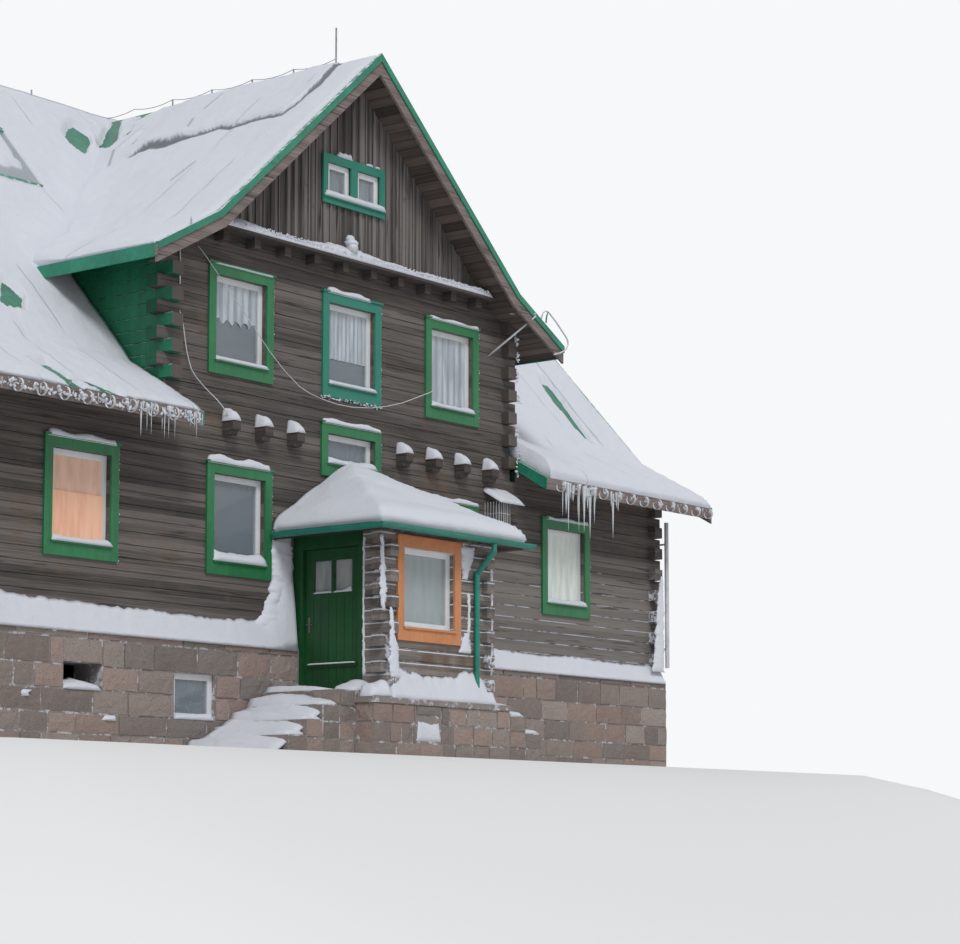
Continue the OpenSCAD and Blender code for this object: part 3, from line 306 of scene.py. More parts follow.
def logs(swap, packed=()):
    """swap: the logs run along Y. packed: boxes along the wall and in height with rime packed on."""
    def build(pos):
        x, y, z = split(pos)
        a, b = (y, x) if swap else (x, y)
        along = join(a, b, z)
        wood = grain(along)
        tone = wood["Tone"] * 0.75 + each(z, COURSE) * 0.25
        lift = 1.7 if packed else 1.0
        deep, pale = [tuple(lift * c for c in rgb) for rgb in ((0.046, 0.040, 0.036), (0.165, 0.143, 0.130))]
        warm = mix(step(patchy(along, 0.45), 0.52, 0.70), mix(step(tone, 0.30, 0.70), deep, pale),
                   mix(tone, (0.078, 0.050, 0.036), (0.185, 0.128, 0.096)))
        low = step(z, 4.3, 2.6) * step(x, 1.2, 2.2)
        grey = mix(low * 0.85, warm, mix(tone, (0.085, 0.076, 0.069), (0.29, 0.265, 0.24)))
        worn = mix(wood["Crack"] * 0.65, grey, (0.016, 0.013, 0.012))
        in_course = calc("FRACT", (z - LOG_FOOT) / COURSE)
        joint = larger(step(in_course, 0.90, 0.955), step(in_course, 0.05, 0.01))
        ragged = cloud(times(along, 2.2, 9.0, 9.0), 1.0, 5.0, 0.7)
        if packed:
            rime = joint * step(ragged, 0.36, 0.46)
            clump = cloud(times(pos, 9.0, 9.0, 6.0), 1.0, 6.0, 0.72)
            for box in packed:
                rime = larger(rime, step(clump + zone(a, z, *box) * 0.42, 0.84, 0.90))
        else:
            rime = joint * low * step(ragged + low * 0.36, 0.80, 0.88)
            sideways = facing(pos)[0]
            if not swap:
                ends = step(abs(x), 3.9, 3.95) * step(z, 4.68, 4.72) * step(abs(sideways), 0.6, 0.8)
                worn = mix(ends, worn, mix(tone, (0.005, 0.06, 0.028), (0.012, 0.125, 0.06)))
            lee = step(sideways, -0.6, -0.8) * (step(x, 8.0, 8.02) * step(y, -5.4, -5.44))
            lee = lee * step(cloud(pos, 15.0, 4.0, 0.7), 0.44, 0.52)
            rime = larger(rime, lee * step(z, 3.6, 3.2))
        frost = larger(rime, frost_on(pos, 0.1 if packed else -0.22, 0.1))
        return mix(frost, worn, FROST), wood["Height"] + rime
    return build


FRONT_PACKED = [(0.42, 0.74, 2.80, 3.25), (0.42, 0.74, 1.60, 1.88), (-1.31, -1.08, 1.1, 1.95)]
SIDE_PACKED = [(-7.18, -7.02, 2.15, 2.85), (-7.38, -7.20, 1.0, 1.8)]
logs_x = finish("logs along x", logs(False), 0.86, 0.010)
logs_y = finish("logs along y", logs(True), 0.86, 0.010)
porch_x = finish("porch logs along x", logs(False, FRONT_PACKED), 0.86, 0.010)
porch_y = finish("porch logs along y", logs(True, SIDE_PACKED), 0.86, 0.010)

# %% [markdown]
# ### Boards
# Gable boards stand upright and each has its own tone. Grey boards are the
# bargeboards, beam ends and fascias. Painted boards show their grain through
# a worn coat.

# %% Bare boards
GABLE_BOARD = 0.0825


def gable(pos):
    x, y, z = split(pos)
    across = blend(step(abs(facing(pos)[0]), 0.4, 0.6), x, y)
    wood = grain(join(z, x, y))
    tone = wood["Tone"] * 0.7 + each(across, GABLE_BOARD) * 0.3
    base = mix(step(tone, 0.3, 0.72), (0.054, 0.049, 0.046), (0.215, 0.196, 0.184))
    red = mix(step(patchy(pos, 1.1), 0.56, 0.72), base, (0.115, 0.070, 0.050))
    return frosted(pos, mix(wood["Crack"], red, (0.02, 0.016, 0.014)), 0.3, 0.05), wood["Height"]


def grey_wood(name, rough, depth, pale, deep, up=0.25):
    def build(pos):
        x, y, z = split(pos)
        ends = step(abs(facing(pos)[0]), 0.6, 0.8)
        wood = grain(join(blend(ends, x, y), blend(ends, y, x), z))
        base = mix(step(wood["Tone"], 0.32, 0.68), deep, pale)
        worn = mix(wood["Crack"] * 0.8, base, tuple(0.35 * c for c in deep))
        return frosted(pos, worn, up, 0.08), wood["Height"]
    return finish(name, build, rough, depth)


gable_boards = finish("gable boards", gable, 0.88, 0.006)
grey_boards = grey_wood("grey boards", 0.85, 0.004, (0.26, 0.215, 0.20), (0.13, 0.10, 0.095))
beam_wood = grey_wood("beam ends", 0.88, 0.005, (0.09, 0.075, 0.068), (0.035, 0.028, 0.026), 0.35)
floor_boards = grey_wood("floor boards", 0.6, 0.002, (0.36, 0.27, 0.18), (0.22, 0.15, 0.10), 0.0)
concrete = grey_wood("concrete", 0.9, 0.002, (0.36, 0.35, 0.34), (0.26, 0.25, 0.24), 0.0)

# %% Painted boards
def painted(name, rough, depth, wear, coat, deep, bare, stray=0.1, teal=False, brown_ends=False):
    """wear: where chips start. teal: a bluer middle of the wing. brown_ends: log ends stay bare."""
    def build(pos):
        x, y, z = split(pos)
        wood, patch = grain(join(z, x, y)), patchy(pos, 1.6)
        base = mix(step(wood["Tone"] * 0.5 + patch * 0.5, 0.36, 0.64), deep, coat)
        if teal:
            middle = step(abs(x), 0.9, 0.8) * step(z, 5.3, 5.4)
            base = mix(middle, base, mix(patch, (0.010, 0.14, 0.10), (0.020, 0.24, 0.17)))
        chips = step(cloud(times(pos, 14.0, 14.0, 6.0), 1.0, 5.0, 0.7), wear - 0.06, wear)
        old = mix(chips, base, bare)
        if brown_ends:
            front = step(abs(facing(pos)[1]), 0.5, 0.7) * step(abs(y), 5.3, 5.4)
            ends = larger(front, step(x, 3.7, 3.75) * step(y, -5.2, -5.3))
            old = mix(ends, old, mix(wood["Tone"], (0.035, 0.030, 0.026), (0.125, 0.10, 0.085)))
        return frosted(pos, old, 0.25, stray), wood["Height"] - chips * 0.8
    return finish(name, build, rough, depth)


green_boards = painted("green boards", 0.55, 0.004, 0.74, (0.010, 0.205, 0.100), (0.005, 0.120, 0.058),
                       (0.06, 0.08, 0.05), brown_ends=True)
door_green = painted("door paint", 0.45, 0.002, 0.78, (0.006, 0.080, 0.018), (0.003, 0.046, 0.011),
                     (0.03, 0.07, 0.03), stray=0.0)
window_green = painted("window paint", 0.5, 0.003, 0.74, (0.022, 0.19, 0.068), (0.012, 0.125, 0.045),
                       (0.10, 0.13, 0.07), teal=True)
orange_wood = painted("new orange wood", 0.6, 0.002, 0.73, (0.62, 0.26, 0.115), (0.48, 0.185, 0.075),
                      (0.40, 0.17, 0.08), stray=0.05)
white_paint = painted("white paint", 0.4, 0.001, 0.80, (0.76, 0.77, 0.78), (0.68, 0.69, 0.71),
                      (0.50, 0.48, 0.46), stray=0.0)

# %% [markdown]
# ### Sheet metal
# The roof is painted sheet with standing seams. From below it shows the rough
# boards that carry it, so the finish changes where a face looks down. Gutter,
# flashings and roof window have the same green coat, small fittings are zinc.

# %% Roof and metal
SEAM_PITCH, ROOF_BOARD = 0.62, 0.12


def roof(seams_on_x):
    def build(pos):
        x, y, z = split(pos)
        run, rise = (x, y) if seams_on_x else (y, x)
        down = step(facing(pos)[2], 0.3, 0.15)
        seam = step(abs(calc("FRACT", run / SEAM_PITCH) - 0.5), 0.02, 0.012)
        sheet = mix(step(patchy(pos, 1.2), 0.35, 0.65), (0.012, 0.12, 0.075), (0.03, 0.21, 0.13))
        gap = step(calc("FRACT", rise / ROOF_BOARD), 0.06, 0.02)
        wood = grain(join(run, rise, z))
        tone = wood["Tone"] * 0.7 + each(rise, ROOF_BOARD) * 0.3
        boards = mix(step(tone, 0.3, 0.7), (0.05, 0.036, 0.030), (0.15, 0.115, 0.098))
        colour = mix(down, frosted(pos, sheet, 0.0, 0.5), mix(gap, boards, (0.012, 0.010, 0.009)))
        return colour, blend(down, seam, wood["Height"] - gap), blend(down, 0.45, 0.88)
    return build


def coated(name, coat, deep, stray, up, depth=0.001, metal=0.0):
    def build(pos):
        patch, frost = patchy(pos, 2.2), frost_on(pos, up, stray)
        return mix(frost, mix(step(patch, 0.35, 0.66), deep, coat), FROST), patch, blend(frost, 0.42, 0.85)
    return finish(name, build, depth=depth, metal=metal)


roof_main, roof_wing = [finish(name + " roof sheet", roof(on_x), depth=0.010)
                        for name, on_x in (("main", True), ("wing", False))]
green_metal = coated("green metal", (0.020, 0.25, 0.15), (0.010, 0.16, 0.095), 0.25, 0.3)
gutter_green = coated("gutter paint", (0.012, 0.23, 0.165), (0.008, 0.155, 0.115), 0.35, 0.2)
dull_zinc = coated("dull zinc", (0.36, 0.37, 0.39), (0.20, 0.21, 0.22), 0.9, 0.55, metal=0.4)
rimed_zinc = coated("rimed zinc", (0.60, 0.61, 0.64), (0.42, 0.43, 0.45), 1.0, 0.7, 0.002, metal=0.1)
handle_metal = coated("handle metal", (0.25, 0.24, 0.22), (0.15, 0.14, 0.13), 0.1, 0.1, 0.0005, metal=0.9)

# %% [markdown]
# ### Glass
# A pane lets the curtain show and mirrors the pale sky. The gloss comes from
# the shader itself, so it works from every side.

# %% Glass
def glass(pos):
    film = patchy(pos, 1.4)
    return mix(film, (0.28, 0.34, 0.39), (0.40, 0.46, 0.50)), film


window_glass = finish("window glass", glass, 0.06, 0.0006, alpha=0.36, specular=1.0)
dim_glass = finish("dim glass", glass, 0.1, 0.0006, alpha=0.16, specular=0.7)

# %% [markdown]
# ### Stone
# The blocks are a reddish brown sandstone, dressed roughly, each with its own
# tone. The bed behind them is pale mortar with frost in it.

# %% Stone and mortar
def stone(pos):
    tone, grit = stored(pos, "block"), cloud(pos, 60.0, 4.0, 0.7)
    base = mix(tone * 0.65 + patchy(pos, 3.0) * 0.35, (0.155, 0.129, 0.118), (0.480, 0.400, 0.358))
    base = mix(step(calc("FRACT", tone * 7.3), 0.55, 0.75) * 0.5, base, (0.37, 0.25, 0.21))
    base = mix(step(tone, 0.82, 0.86) * 0.6, base, (0.13, 0.12, 0.115))
    base = mix(step(grit, 0.50, 0.70) * 0.8, base, (0.105, 0.085, 0.078))
    return frosted(pos, base, 0.35, 0.22), grit + cloud(pos, 14.0, 4.0, 0.6) * 1.6


def mortar(pos):
    grit = cloud(pos, 80.0, 4.0, 0.7)
    frost = step(cloud(pos, 5.0, 6.0, 0.7), 0.52, 0.58)
    return mix(frost * 0.6, mix(grit, (0.15, 0.13, 0.12), (0.33, 0.295, 0.275)), FROST), grit


sandstone = finish("sandstone blocks", stone, 0.9, 0.016)
mortar_bed = finish("mortar", mortar, 0.95, 0.003)

# %% [markdown]
# ### Snow, ice and cloth
# Fresh snow is white with a soft grain. Where it lies thin, the seams of the
# sheet below draw faint lines in it. Icicles are clear, curtains are thin
# cloth with a woven look.

# %% Snow and ice
SHEET_WIDTH = 0.93


def snow(seams=None):
    """seams: the axis that runs across the seams, 0 or 1."""
    def build(pos):
        lumps = cloud(pos, 3.0, 4.0) * 2.2 + cloud(pos, 40.0, 5.0, 0.7)
        colour = mix(patchy(pos, 0.8), (0.64, 0.665, 0.735), (0.73, 0.745, 0.80))
        if seams is not None:
            run = split(pos)[seams] + (cloud(pos, 1.1) - 0.5) * 0.05
            line = step(abs(calc("FRACT", run / SHEET_WIDTH) - 0.5), 0.014, 0.006)
            mark = line * step(cloud(times(pos, 0.8, 0.8, 0.5), 1.0, 2.0), 0.50, 0.58)
            colour = mix(mark * 0.36, colour, (0.25, 0.29, 0.31))
            lumps = lumps - mark
        # The stored mark paints dark seam lines and the shade on the lower face of a slipped slab's step.
        return mix(stored(pos, "mark"), colour, (0.10, 0.11, 0.12)), lumps
    return build


def ice(pos):
    return mix(cloud(pos, 30.0), (0.62, 0.68, 0.74), (0.86, 0.88, 0.91)), cloud(pos, 50.0)


snow_plain = finish("snow", snow(), 0.7, 0.012, specular=0.3)
snow_main = finish("snow on the main roof", snow(0), 0.7, 0.014, specular=0.3)
snow_wing = finish("snow on the wing roof", snow(1), 0.7, 0.014, specular=0.3)
rime_white = finish("rime", snow(), 0.8, 0.004, specular=0.3)
clear_ice = finish("ice", ice, 0.12, 0.002, alpha=0.75)

# %% Cloth
THREAD = 900.0


def cloth(name, pale, deep):
    def build(pos):
        x, y, z = split(pos)
        weave = calc("SINE", (x + y) * THREAD) * calc("SINE", z * THREAD)
        return mix(step(cloud(times(pos, 9.0, 9.0, 1.5), 1.0), 0.35, 0.65), deep, pale), weave
    return finish(name, build, 0.9, 0.0003)


net_cloth = cloth("net curtain", (0.52, 0.56, 0.60), (0.38, 0.42, 0.46))
peach_cloth = cloth("peach blind", (0.95, 0.56, 0.39), (0.86, 0.47, 0.31))
lace_cloth = cloth("peach lace", (0.88, 0.57, 0.44), (0.75, 0.48, 0.36))
green_cloth = cloth("pale green curtain", (0.80, 0.84, 0.79), (0.66, 0.72, 0.67))
dim_cloth = cloth("dim grey curtain", (0.52, 0.50, 0.48), (0.36, 0.345, 0.335))
print("finishes:", len(bpy.data.materials))

# %% [markdown]
# ## The solids get their finishes
# The meshes stay as they are. Only the object's own slot is filled.

# %% Finishes of the solids
WEAR = {
    logs_x: "front_wall_left front_wall_right front_wall_over_door back_wall front_upper_wall back_upper_wall",
    logs_y: "left_wall right_wall end_upper_walls",
    porch_x: "porch_front_wall",
    porch_y: "porch_left_wall porch_right_wall",
    gable_boards: "wing_gables end_gables",
    beam_wood: "floor_beam_ends attic_joist_ends gable_ledges",
    grey_boards: "bargeboards eave_boards",
    green_boards: "wing_side_walls",
    door_green: "porch_door porch_door_frame",
    window_green: "window_surrounds",
    orange_wood: "porch_window_surround",
    white_paint: "window_frames",
    floor_boards: "ground_floor upper_floor upper_floor_sides attic_floor porch_floor",
    concrete: "basement_floor",
    roof_main: "main_roof_front_left main_roof_front_right main_roof_back_left main_roof_back_right",
    roof_wing: "wing_roof_left wing_roof_right porch_roof porch_roof_sides",
    green_metal: "verge_flashings wing_eave_boards roof_window",
    gutter_green: "porch_gutter",
    dull_zinc: "ridge_posts",
    rimed_zinc: "gutter_hooks wall_lamps corner_pipe",
    handle_metal: "porch_door_fittings",
    window_glass: "window_panes",
    dim_glass: "porch_door_panes",
    mortar_bed: "base_wall_front base_wall_back base_wall_left base_wall_right porch_plinth plinth_stub_wall "
                "porch_steps",
}
dressed = [(nodes[n], mat) for mat, names in WEAR.items() for n in names.split()]
for o, mat in dressed:
    if not o.material_slots:
        o.data.materials.append(None)
    for s in o.material_slots:
        s.link = "OBJECT"
        s.material = mat
print("dressed:", len(dressed), "of", len(nodes))

# %% [markdown]
# ## Making a piece
# Each added piece is one mesh in its final place, with its object at the
# origin. A helper makes it, gives it its finish and lets it ride on its body.
# Two more write the faces of a grid and of a tube, which most pieces are.

# %% Piece helpers
def piece(name, verts, faces, mat, body=HOUSE, smooth=True, fix=True):
    """fix: all faces are turned outwards."""
    mesh = bpy.data.meshes.new(name)
    mesh.from_pydata([tuple(v) for v in verts], [], faces)
    mesh.materials.append(mat)
    if fix:
        bm = bmesh.new()
        bm.from_mesh(mesh)
        bmesh.ops.recalc_face_normals(bm, faces=bm.faces)
        bm.to_mesh(mesh)
        bm.free()
    mesh.polygons.foreach_set("use_smooth", [smooth] * len(mesh.polygons))
    o = show(name, mesh)
    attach(o, body)
    print(name, len(mesh.vertices), "points")
    return o


def store(o, name, values):
    """One number for each point, which a finish reads by this name."""
    o.data.attributes.new(name, "FLOAT", "POINT").data.foreach_set("value", values)


def grid(rows, row, base=0):
    """The faces of a grid of points, counted along its rows from base."""
    return [(k, k + 1, k + row + 1, k + row) for j in range(rows - 1)
            for k in range(base + j * row, base + j * row + row - 1)]


def tube(rings):
    """The faces between rings of points, with both ends closed."""
    n = len(rings[0])
    sides = [(a[i], b[i], b[(i + 1) % n], a[(i + 1) % n]) for a, b in zip(rings, rings[1:]) for i in range(n)]
    return sides + [tuple(rings[0]), tuple(reversed(rings[-1]))]


# %% [markdown]
# ## The two wires
# A thin wire sags from the wing corner across the gable wall to the right
# upper window, and a thicker one hangs from the wing corner to the first beam
# end. Both are cords, so they are curves with a round section. Their paths are
# written in millimetres.

# %% Wires
FRONT_WIRE = [
    (-3360, -5456, 7290), (-3330, -5490, 7240), (-3240, -5525, 7130), (-3100, -5532, 7000), (-2820, -5532, 6765),
    (-2540, -5532, 6530), (-2230, -5532, 6250), (-1910, -5532, 5970), (-1590, -5530, 5735), (-1260, -5525, 5550),
    (-1000, -5515, 5475), (-700, -5505, 5430), (-350, -5500, 5400), (0, -5500, 5405), (450, -5500, 5455),
    (800, -5510, 5530), (1180, -5520, 5640), (1540, -5525, 5780), (1800, -5525, 5880), (1915, -5505, 5925),
    (1955, -5450, 5945), (1965, -5381, 5950)]
CORNER_WIRE = [
    (-3720, -5460, 6290), (-3715, -5490, 6230), (-3700, -5510, 6120), (-3675, -5510, 6010), (-3650, -5510, 5880),
    (-3620, -5510, 5740), (-3575, -5512, 5600), (-3520, -5515, 5470), (-3430, -5520, 5370), (-3320, -5525, 5285),
    (-3170, -5530, 5190), (-3020, -5540, 5100), (-2920, -5550, 5020), (-2850, -5560, 4950), (-2805, -5565, 4880),
    (-2795, -5570, 4827)]


def wire(name, path, radius, node):
    points = [tuple(v / 1000.0 for v in p) for p in path]
    curve = bpy.data.curves.new(name, "CURVE")
    curve.dimensions = "3D"
    curve.bevel_depth = radius
    curve.bevel_resolution = 3
    curve.use_fill_caps = True
    s = curve.splines.new("POLY")
    s.points.add(len(points) - 1)
    for p, q in zip(s.points, points):
        p.co = (*q, 1.0)
    curve.materials.append(rimed_zinc)
    o = show(name, curve)
    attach(o, HOUSE)
    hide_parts(node)


wire("thin_wire", FRONT_WIRE, 0.006, "front_wire")
wire("thick_wire", CORNER_WIRE, 0.008, "corner_wire")

# %% [markdown]
# ## Roof surfaces as functions
# Snow follows the roof, so the roof's form is needed as heights over the plan:
# a steep slope and a flatter foot on both roofs, and three planes on the porch.

# %% Roof heights
def slope(d, ridge, steep, knee, knee_z, flat):
    """The height at the distance d from the ridge line."""
    return ridge - steep * d if d < knee else knee_z - flat * (d - knee)


def main_z(y):
    return slope(abs(y), 10.87, 1.1106, 4.85, 5.484, 0.5658)


def wing_z(x):
    return slope(abs(x), 10.82, 0.9004, 3.5, 7.669, 0.5543)


# middle and half width, front and wall, eave height and rise of the porch roof
PX, PHALF, PY0, PY1, PEAVE, PRISE = -0.055, 1.655, -7.53, -5.45, 3.34, 0.91


def porch_z(x, y):
    return PEAVE + PRISE * min((y - PY0) / (PY1 - PY0), (PHALF - abs(x - PX)) / PHALF)


print("ridges at", main_z(0), wing_z(0))

# %% [markdown]
# ## Soft shapes
# Snow has no hard edges. "fluff" is an even noise, "ease" a soft step and
# "rounded" the quarter circle of a free edge. The rest measure distances in
# plan and space the lines of a grid, closer where the form is finer.

# %% Soft shapes
def fluff(x, y, scale, seed=0.0):
    return noise.fractal(Vector((x * scale, y * scale, seed)), 0.8, 2.0, 4)


def ease(v, lo, hi):
    v = min(1.0, max(0.0, (v - lo) / (hi - lo)))
    return v * v * (3 - 2 * v)


def rounded(d, radius):
    d = min(1.0, max(0.0, d / radius))
    return math.sqrt(1.0 - (1.0 - d) ** 2)


def beside(x, y, points):
    """Distance from a line of points, in plan."""
    best = 9.0
    for (ax, ay), (bx, by) in zip(points, points[1:]):
        t = ((x - ax) * (bx - ax) + (y - ay) * (by - ay)) / ((bx - ax) ** 2 + (by - ay) ** 2)
        t = min(1.0, max(0.0, t))
        best = min(best, math.hypot(x - ax - t * (bx - ax), y - ay - t * (by - ay)))
    return best


def inside(x, y, ring):
    """Distance to a closed ring in plan, positive inside it."""
    odd = False
    for (ax, ay), (bx, by) in zip(ring, ring[1:] + ring[:1]):
        if (ay > y) != (by > y) and x < ax + (y - ay) / (by - ay) * (bx - ax):
            odd = not odd
    d = beside(x, y, ring + ring[:1])
    return d if odd else -d


def spaced(lo, hi, pitch, edge):
    """Ticks from lo to hi, close together within the edge at both ends."""
    n = max(2, round((hi - lo - 2 * edge) / pitch))
    inner = [lo + edge + (hi - lo - 2 * edge) * k / n for k in range(n + 1)]
    rim = [0.0, 0.12, 0.35, 0.65]
    return [lo + edge * r for r in rim] + inner + [hi - edge * r for r in reversed(rim)]


def finer(ticks, lo, hi, pitch):
    """The same ticks, with a closer pitch from lo to hi."""
    n = max(1, round((hi - lo) / pitch))
    return sorted([v for v in ticks if not lo - 0.4 * pitch < v < hi + 0.4 * pitch] +
                  [lo + (hi - lo) * k / n for k in range(n + 1)])


print("a soft step:", [round(ease(v, 0, 4), 2) for v in range(5)])

# %% [markdown]
# ## Snow blankets
# A blanket is a grid over the plan. Its height is the roof plus a depth that is
# rounded at the free edges, raised by drifts and sunk below the sheet where the
# roof lies bare. Its rim turns down and in, so that it is closed from below.

# %% Blanket maker
def blanket(name, xs, ys, surface, depth, keep, mat, marks=None):
    """surface, depth, keep and marks are functions of x and y: the roof, the snow on it, where it
    lies, and how dark it is marked, with seam lines and with painted shade on a slipped slab's step."""
    index, verts = {}, []
    for i, x in enumerate(xs):
        for j, y in enumerate(ys):
            if keep(x, y):
                index[i, j] = len(verts)
                verts.append([x, y, surface(x, y) + depth(x, y)])
    quads = [(a, index.get((i + 1, j)), index.get((i + 1, j + 1)), index.get((i, j + 1)))
             for (i, j), a in index.items()]
    faces = [q for q in quads if None not in q]
    uses, near, rim = {}, {}, {}
    for f in faces:
        for a, b in zip(f, f[1:] + f[:1]):
            uses.setdefault((min(a, b), max(a, b)), []).append((a, b))
            near.setdefault(a, set()).add(b)
            near.setdefault(b, set()).add(a)

    def under(a):
        """The point of the rim under a point of the edge."""
        if a not in rim:
            v = Vector(verts[a])
            mid = sum((Vector(verts[k]) for k in near[a]), Vector()) / len(near[a])
            inward = Vector((mid.x - v.x, mid.y - v.y, 0.0))
            if inward.length > 1e-6:
                inward.normalize()
            p = v + inward * 0.05
            rim[a] = len(verts)
            verts.append([p.x, p.y, surface(p.x, p.y) - 0.015])
        return rim[a]

    for (a, b), *others in uses.values():
        if not others:
            faces.append((b, a, under(a), under(b)))
    o = piece(name, verts, faces, mat, fix=False)
    # The mark holds dark seam lines and painted shade on the step of the slipped slab.
    if marks:
        store(o, "mark", [marks(v[0], v[1]) for v in verts])


# %% [markdown]
# ### Bare sheet
# Near the valley, over the left eave and down the right slope the snow has come
# off the sheet. Each bare place is a ring in plan, the same for both roofs.

# %% Bare places
BARE = [
    [(-1.29, -0.50), (-1.13, -0.42), (-1.03, -0.48), (-0.93, -0.54), (-1.02, -0.66), (-1.17, -0.75), (-1.30, -0.88),
     (-1.48, -0.98), (-1.62, -0.90), (-1.62, -0.76), (-1.45, -0.62)],
    [(-0.03, -0.28), (-0.16, -0.47), (-0.42, -0.69), (-0.81, -1.06), (-0.93, -1.07), (-0.86, -0.78), (-0.77, -0.66),
     (-0.65, -0.63), (-0.28, -0.35), (-0.10, -0.26)],
    [(-0.70, -1.59), (-0.79, -1.57), (-0.99, -1.59), (-1.06, -1.57), (-1.08, -1.71), (-0.83, -1.63)],
    [(-0.73, -0.15), (-0.69, -0.11), (-0.58, -0.21), (-0.62, -0.25)],
    [(-0.70, -1.18), (-0.68, -1.13), (-0.50, -1.07), (-0.52, -1.12)],
    [(-0.02, -1.05), (-0.12, -1.12), (-0.21, -1.10), (-0.26, -0.98), (-0.32, -0.82), (-0.20, -0.78), (-0.14, -0.93)],
    [(-5.61, -3.87), (-5.45, -4.06), (-5.66, -4.29), (-5.95, -4.27)],
    [(-6.63, -5.63), (-6.24, -5.52), (-6.27, -6.24), (-6.45, -6.25)],
    [(-6.20, -5.93), (-5.85, -5.88), (-5.52, -6.25), (-5.83, -6.25)],
    [(7.80, -3.41), (7.82, -3.50), (7.79, -3.71), (7.73, -3.97), (7.68, -4.23), (7.60, -4.51), (7.53, -4.47),
     (7.49, -4.26), (7.48, -4.04), (7.46, -3.86), (7.49, -3.66), (7.68, -3.41)],
]


def worn_off(x, y, d):
    """The depth d, sunk below the sheet in the bare places."""
    for ring in BARE if y < 0 else ():
        rx, ry = zip(*ring)
        if min(rx) - 0.2 < x < max(rx) + 0.2 and min(ry) - 0.2 < y < max(ry) + 0.2:
            out = 0.025 * fluff(x, y, 6.0, 2.0) - inside(x, y, ring)
            d = min(d, -0.03 + 0.24 * ease(out, 0.0, 0.12))
    return d


print("bare places:", len(BARE))

# %% [markdown]
# ### Main roof
# Snow lies a hand deep, thicker over the eaves and in the valley, thin along
# the ridge, and the roof window is mostly bare.

# %% Snow on the main roof
VERGE, EAVE = 8.86, 6.24


def main_depth(x, y):
    d = 0.12 + 0.035 * fluff(x, y, 0.9) + 0.012 * fluff(x, y, 4.0, 5.0)
    d += (0.10 * ease(x, -4.0, 0.0) - 0.03) * ease(abs(y), 4.6, 5.9)
    valley = abs(main_z(y) - wing_z(x)) if abs(x) < 4.7 else 9.0
    d += 0.10 * ease(valley, 0.7, 0.0) * ease(abs(x), 1.6, 2.6)
    if 4.0 <= x < 5.2 and abs(y) > 4.6:
        d += 0.12 * ease(x, 5.2, 4.3) * ease(abs(y), 4.6, 5.4)
    d *= 0.45 + 0.55 * ease(abs(y), 0.0, 0.22)
    d = worn_off(x, y, d)
    if -4.4 < x < -2.9 and -2.3 < y < -0.7:
        out = max(abs(x + 3.68) - 0.44, abs(y + 1.5) - 0.46) + 0.02 * fluff(x, y, 5.0, 4.0)
        pad = max(abs(x + 3.58) - 0.24, abs(y + 1.42) - 0.30) + 0.05 * fluff(x, y, 3.0, 6.0)
        d = max(min(d, -0.03 + 0.3 * ease(out, 0.0, 0.14)), -0.03 + 0.17 * ease(pad, 0.05, -0.05))
    edge = min(rounded(VERGE - abs(x), 0.16), 0.25 + 0.75 * rounded(EAVE - abs(y), 0.18))
    return d * edge if d > 0 else d


def main_keep(x, y):
    return abs(x) >= 4.0 or main_z(y) >= wing_z(x) - 0.16


def main_marks(x, y):
    line = beside(x, y, [(7.92, -2.9), (7.90, -3.7), (7.84, -4.6)]) if x > 7.0 else 9.0
    return 0.5 * ease(line, 0.035, 0.01)


main_xs = spaced(-VERGE, VERGE, 0.075, 0.16)
for lo, hi in ((-6.75, -5.35), (-1.70, -0.45), (7.30, 8.05)):
    main_xs = finer(main_xs, lo, hi, 0.036)
main_ys = sorted(-v for v in [0.0] + spaced(0.06, EAVE - 0.005, 0.07, 0.16))
main_ys = finer(finer(main_ys, -6.0, -3.35, 0.045), -1.1, -0.05, 0.036)
for tag, xs, ys, marks in (
        ("front", main_xs, main_ys, main_marks),
        ("back", spaced(-VERGE, VERGE, 0.13, 0.16), [0.0] + spaced(0.06, EAVE - 0.005, 0.12, 0.16), None)):
    blanket("snow_main_roof_" + tag, xs, ys, lambda x, y: main_z(y), main_depth, main_keep, snow_main, marks)

# %% [markdown]
# ### Wing roof
# On the left slope the upper layer has slipped over the lower one. Its slab ends
# in a raised step, and a point attribute paints shade on the lower face of the step.

# %% The slab that slipped
SLAB = [(0.0, -5.20), (-0.22, -5.28), (-0.45, -5.32), (-0.65, -5.36), (-0.90, -5.30), (-1.14, -5.27),
        (-1.30, -5.18), (-1.28, -4.90), (-1.26, -4.50), (-1.29, -4.10), (-1.25, -3.84), (-1.32, -3.50),
        (-1.34, -3.10), (-1.40, -2.86), (-1.36, -2.40), (-1.38, -2.20), (-1.50, -2.12), (-1.30, -1.20),
        (0.40, -1.20), (0.40, -5.20)]
SEAMS = [[(-0.91, -2.92), (-1.16, -3.03)], [(-0.65, -2.92), (-0.28, -2.94)], [(-1.59, -1.74), (-1.15, -1.39)],
         [(-2.48, -4.00), (-2.06, -4.12)]]


def painted_step_shade(x, y):
    """1 on the lower face of the slab's step, where shade is painted into the snow, 0 elsewhere."""
    if not (-1.7 < x < 0.02 and -5.6 < y < -1.9):
        return 0.0
    wide = np.interp(-y, [2.10, 2.35, 3.00, 3.15, 4.90, 5.12, 5.20], [0.4, 1.0, 1.0, 0.45, 0.45, 0.8, 1.0])
    if y < -5.05 and x < -0.84:
        wide = 0.45
    into = inside(x, y, SLAB) + 0.006 * fluff(x, y, 9.0, 4.0)
    return (ease(into, 0.012 + 0.026 * wide, 0.004 + 0.022 * wide) *
            ease(into, -0.034 * wide - 0.02, -0.034 * wide) * ease(-y, 2.02, 2.16))


# Dark seam lines, and painted shade on the lower face of the slab's step, in one mark.
def wing_seams_and_step_shade(x, y):
    return max(0.85 * painted_step_shade(x, y), max(0.5 * ease(beside(x, y, line), 0.035, 0.01) for line in SEAMS))


# %% Snow on the wing roof
WING_VERGE, WING_EAVE = 5.975, 4.73


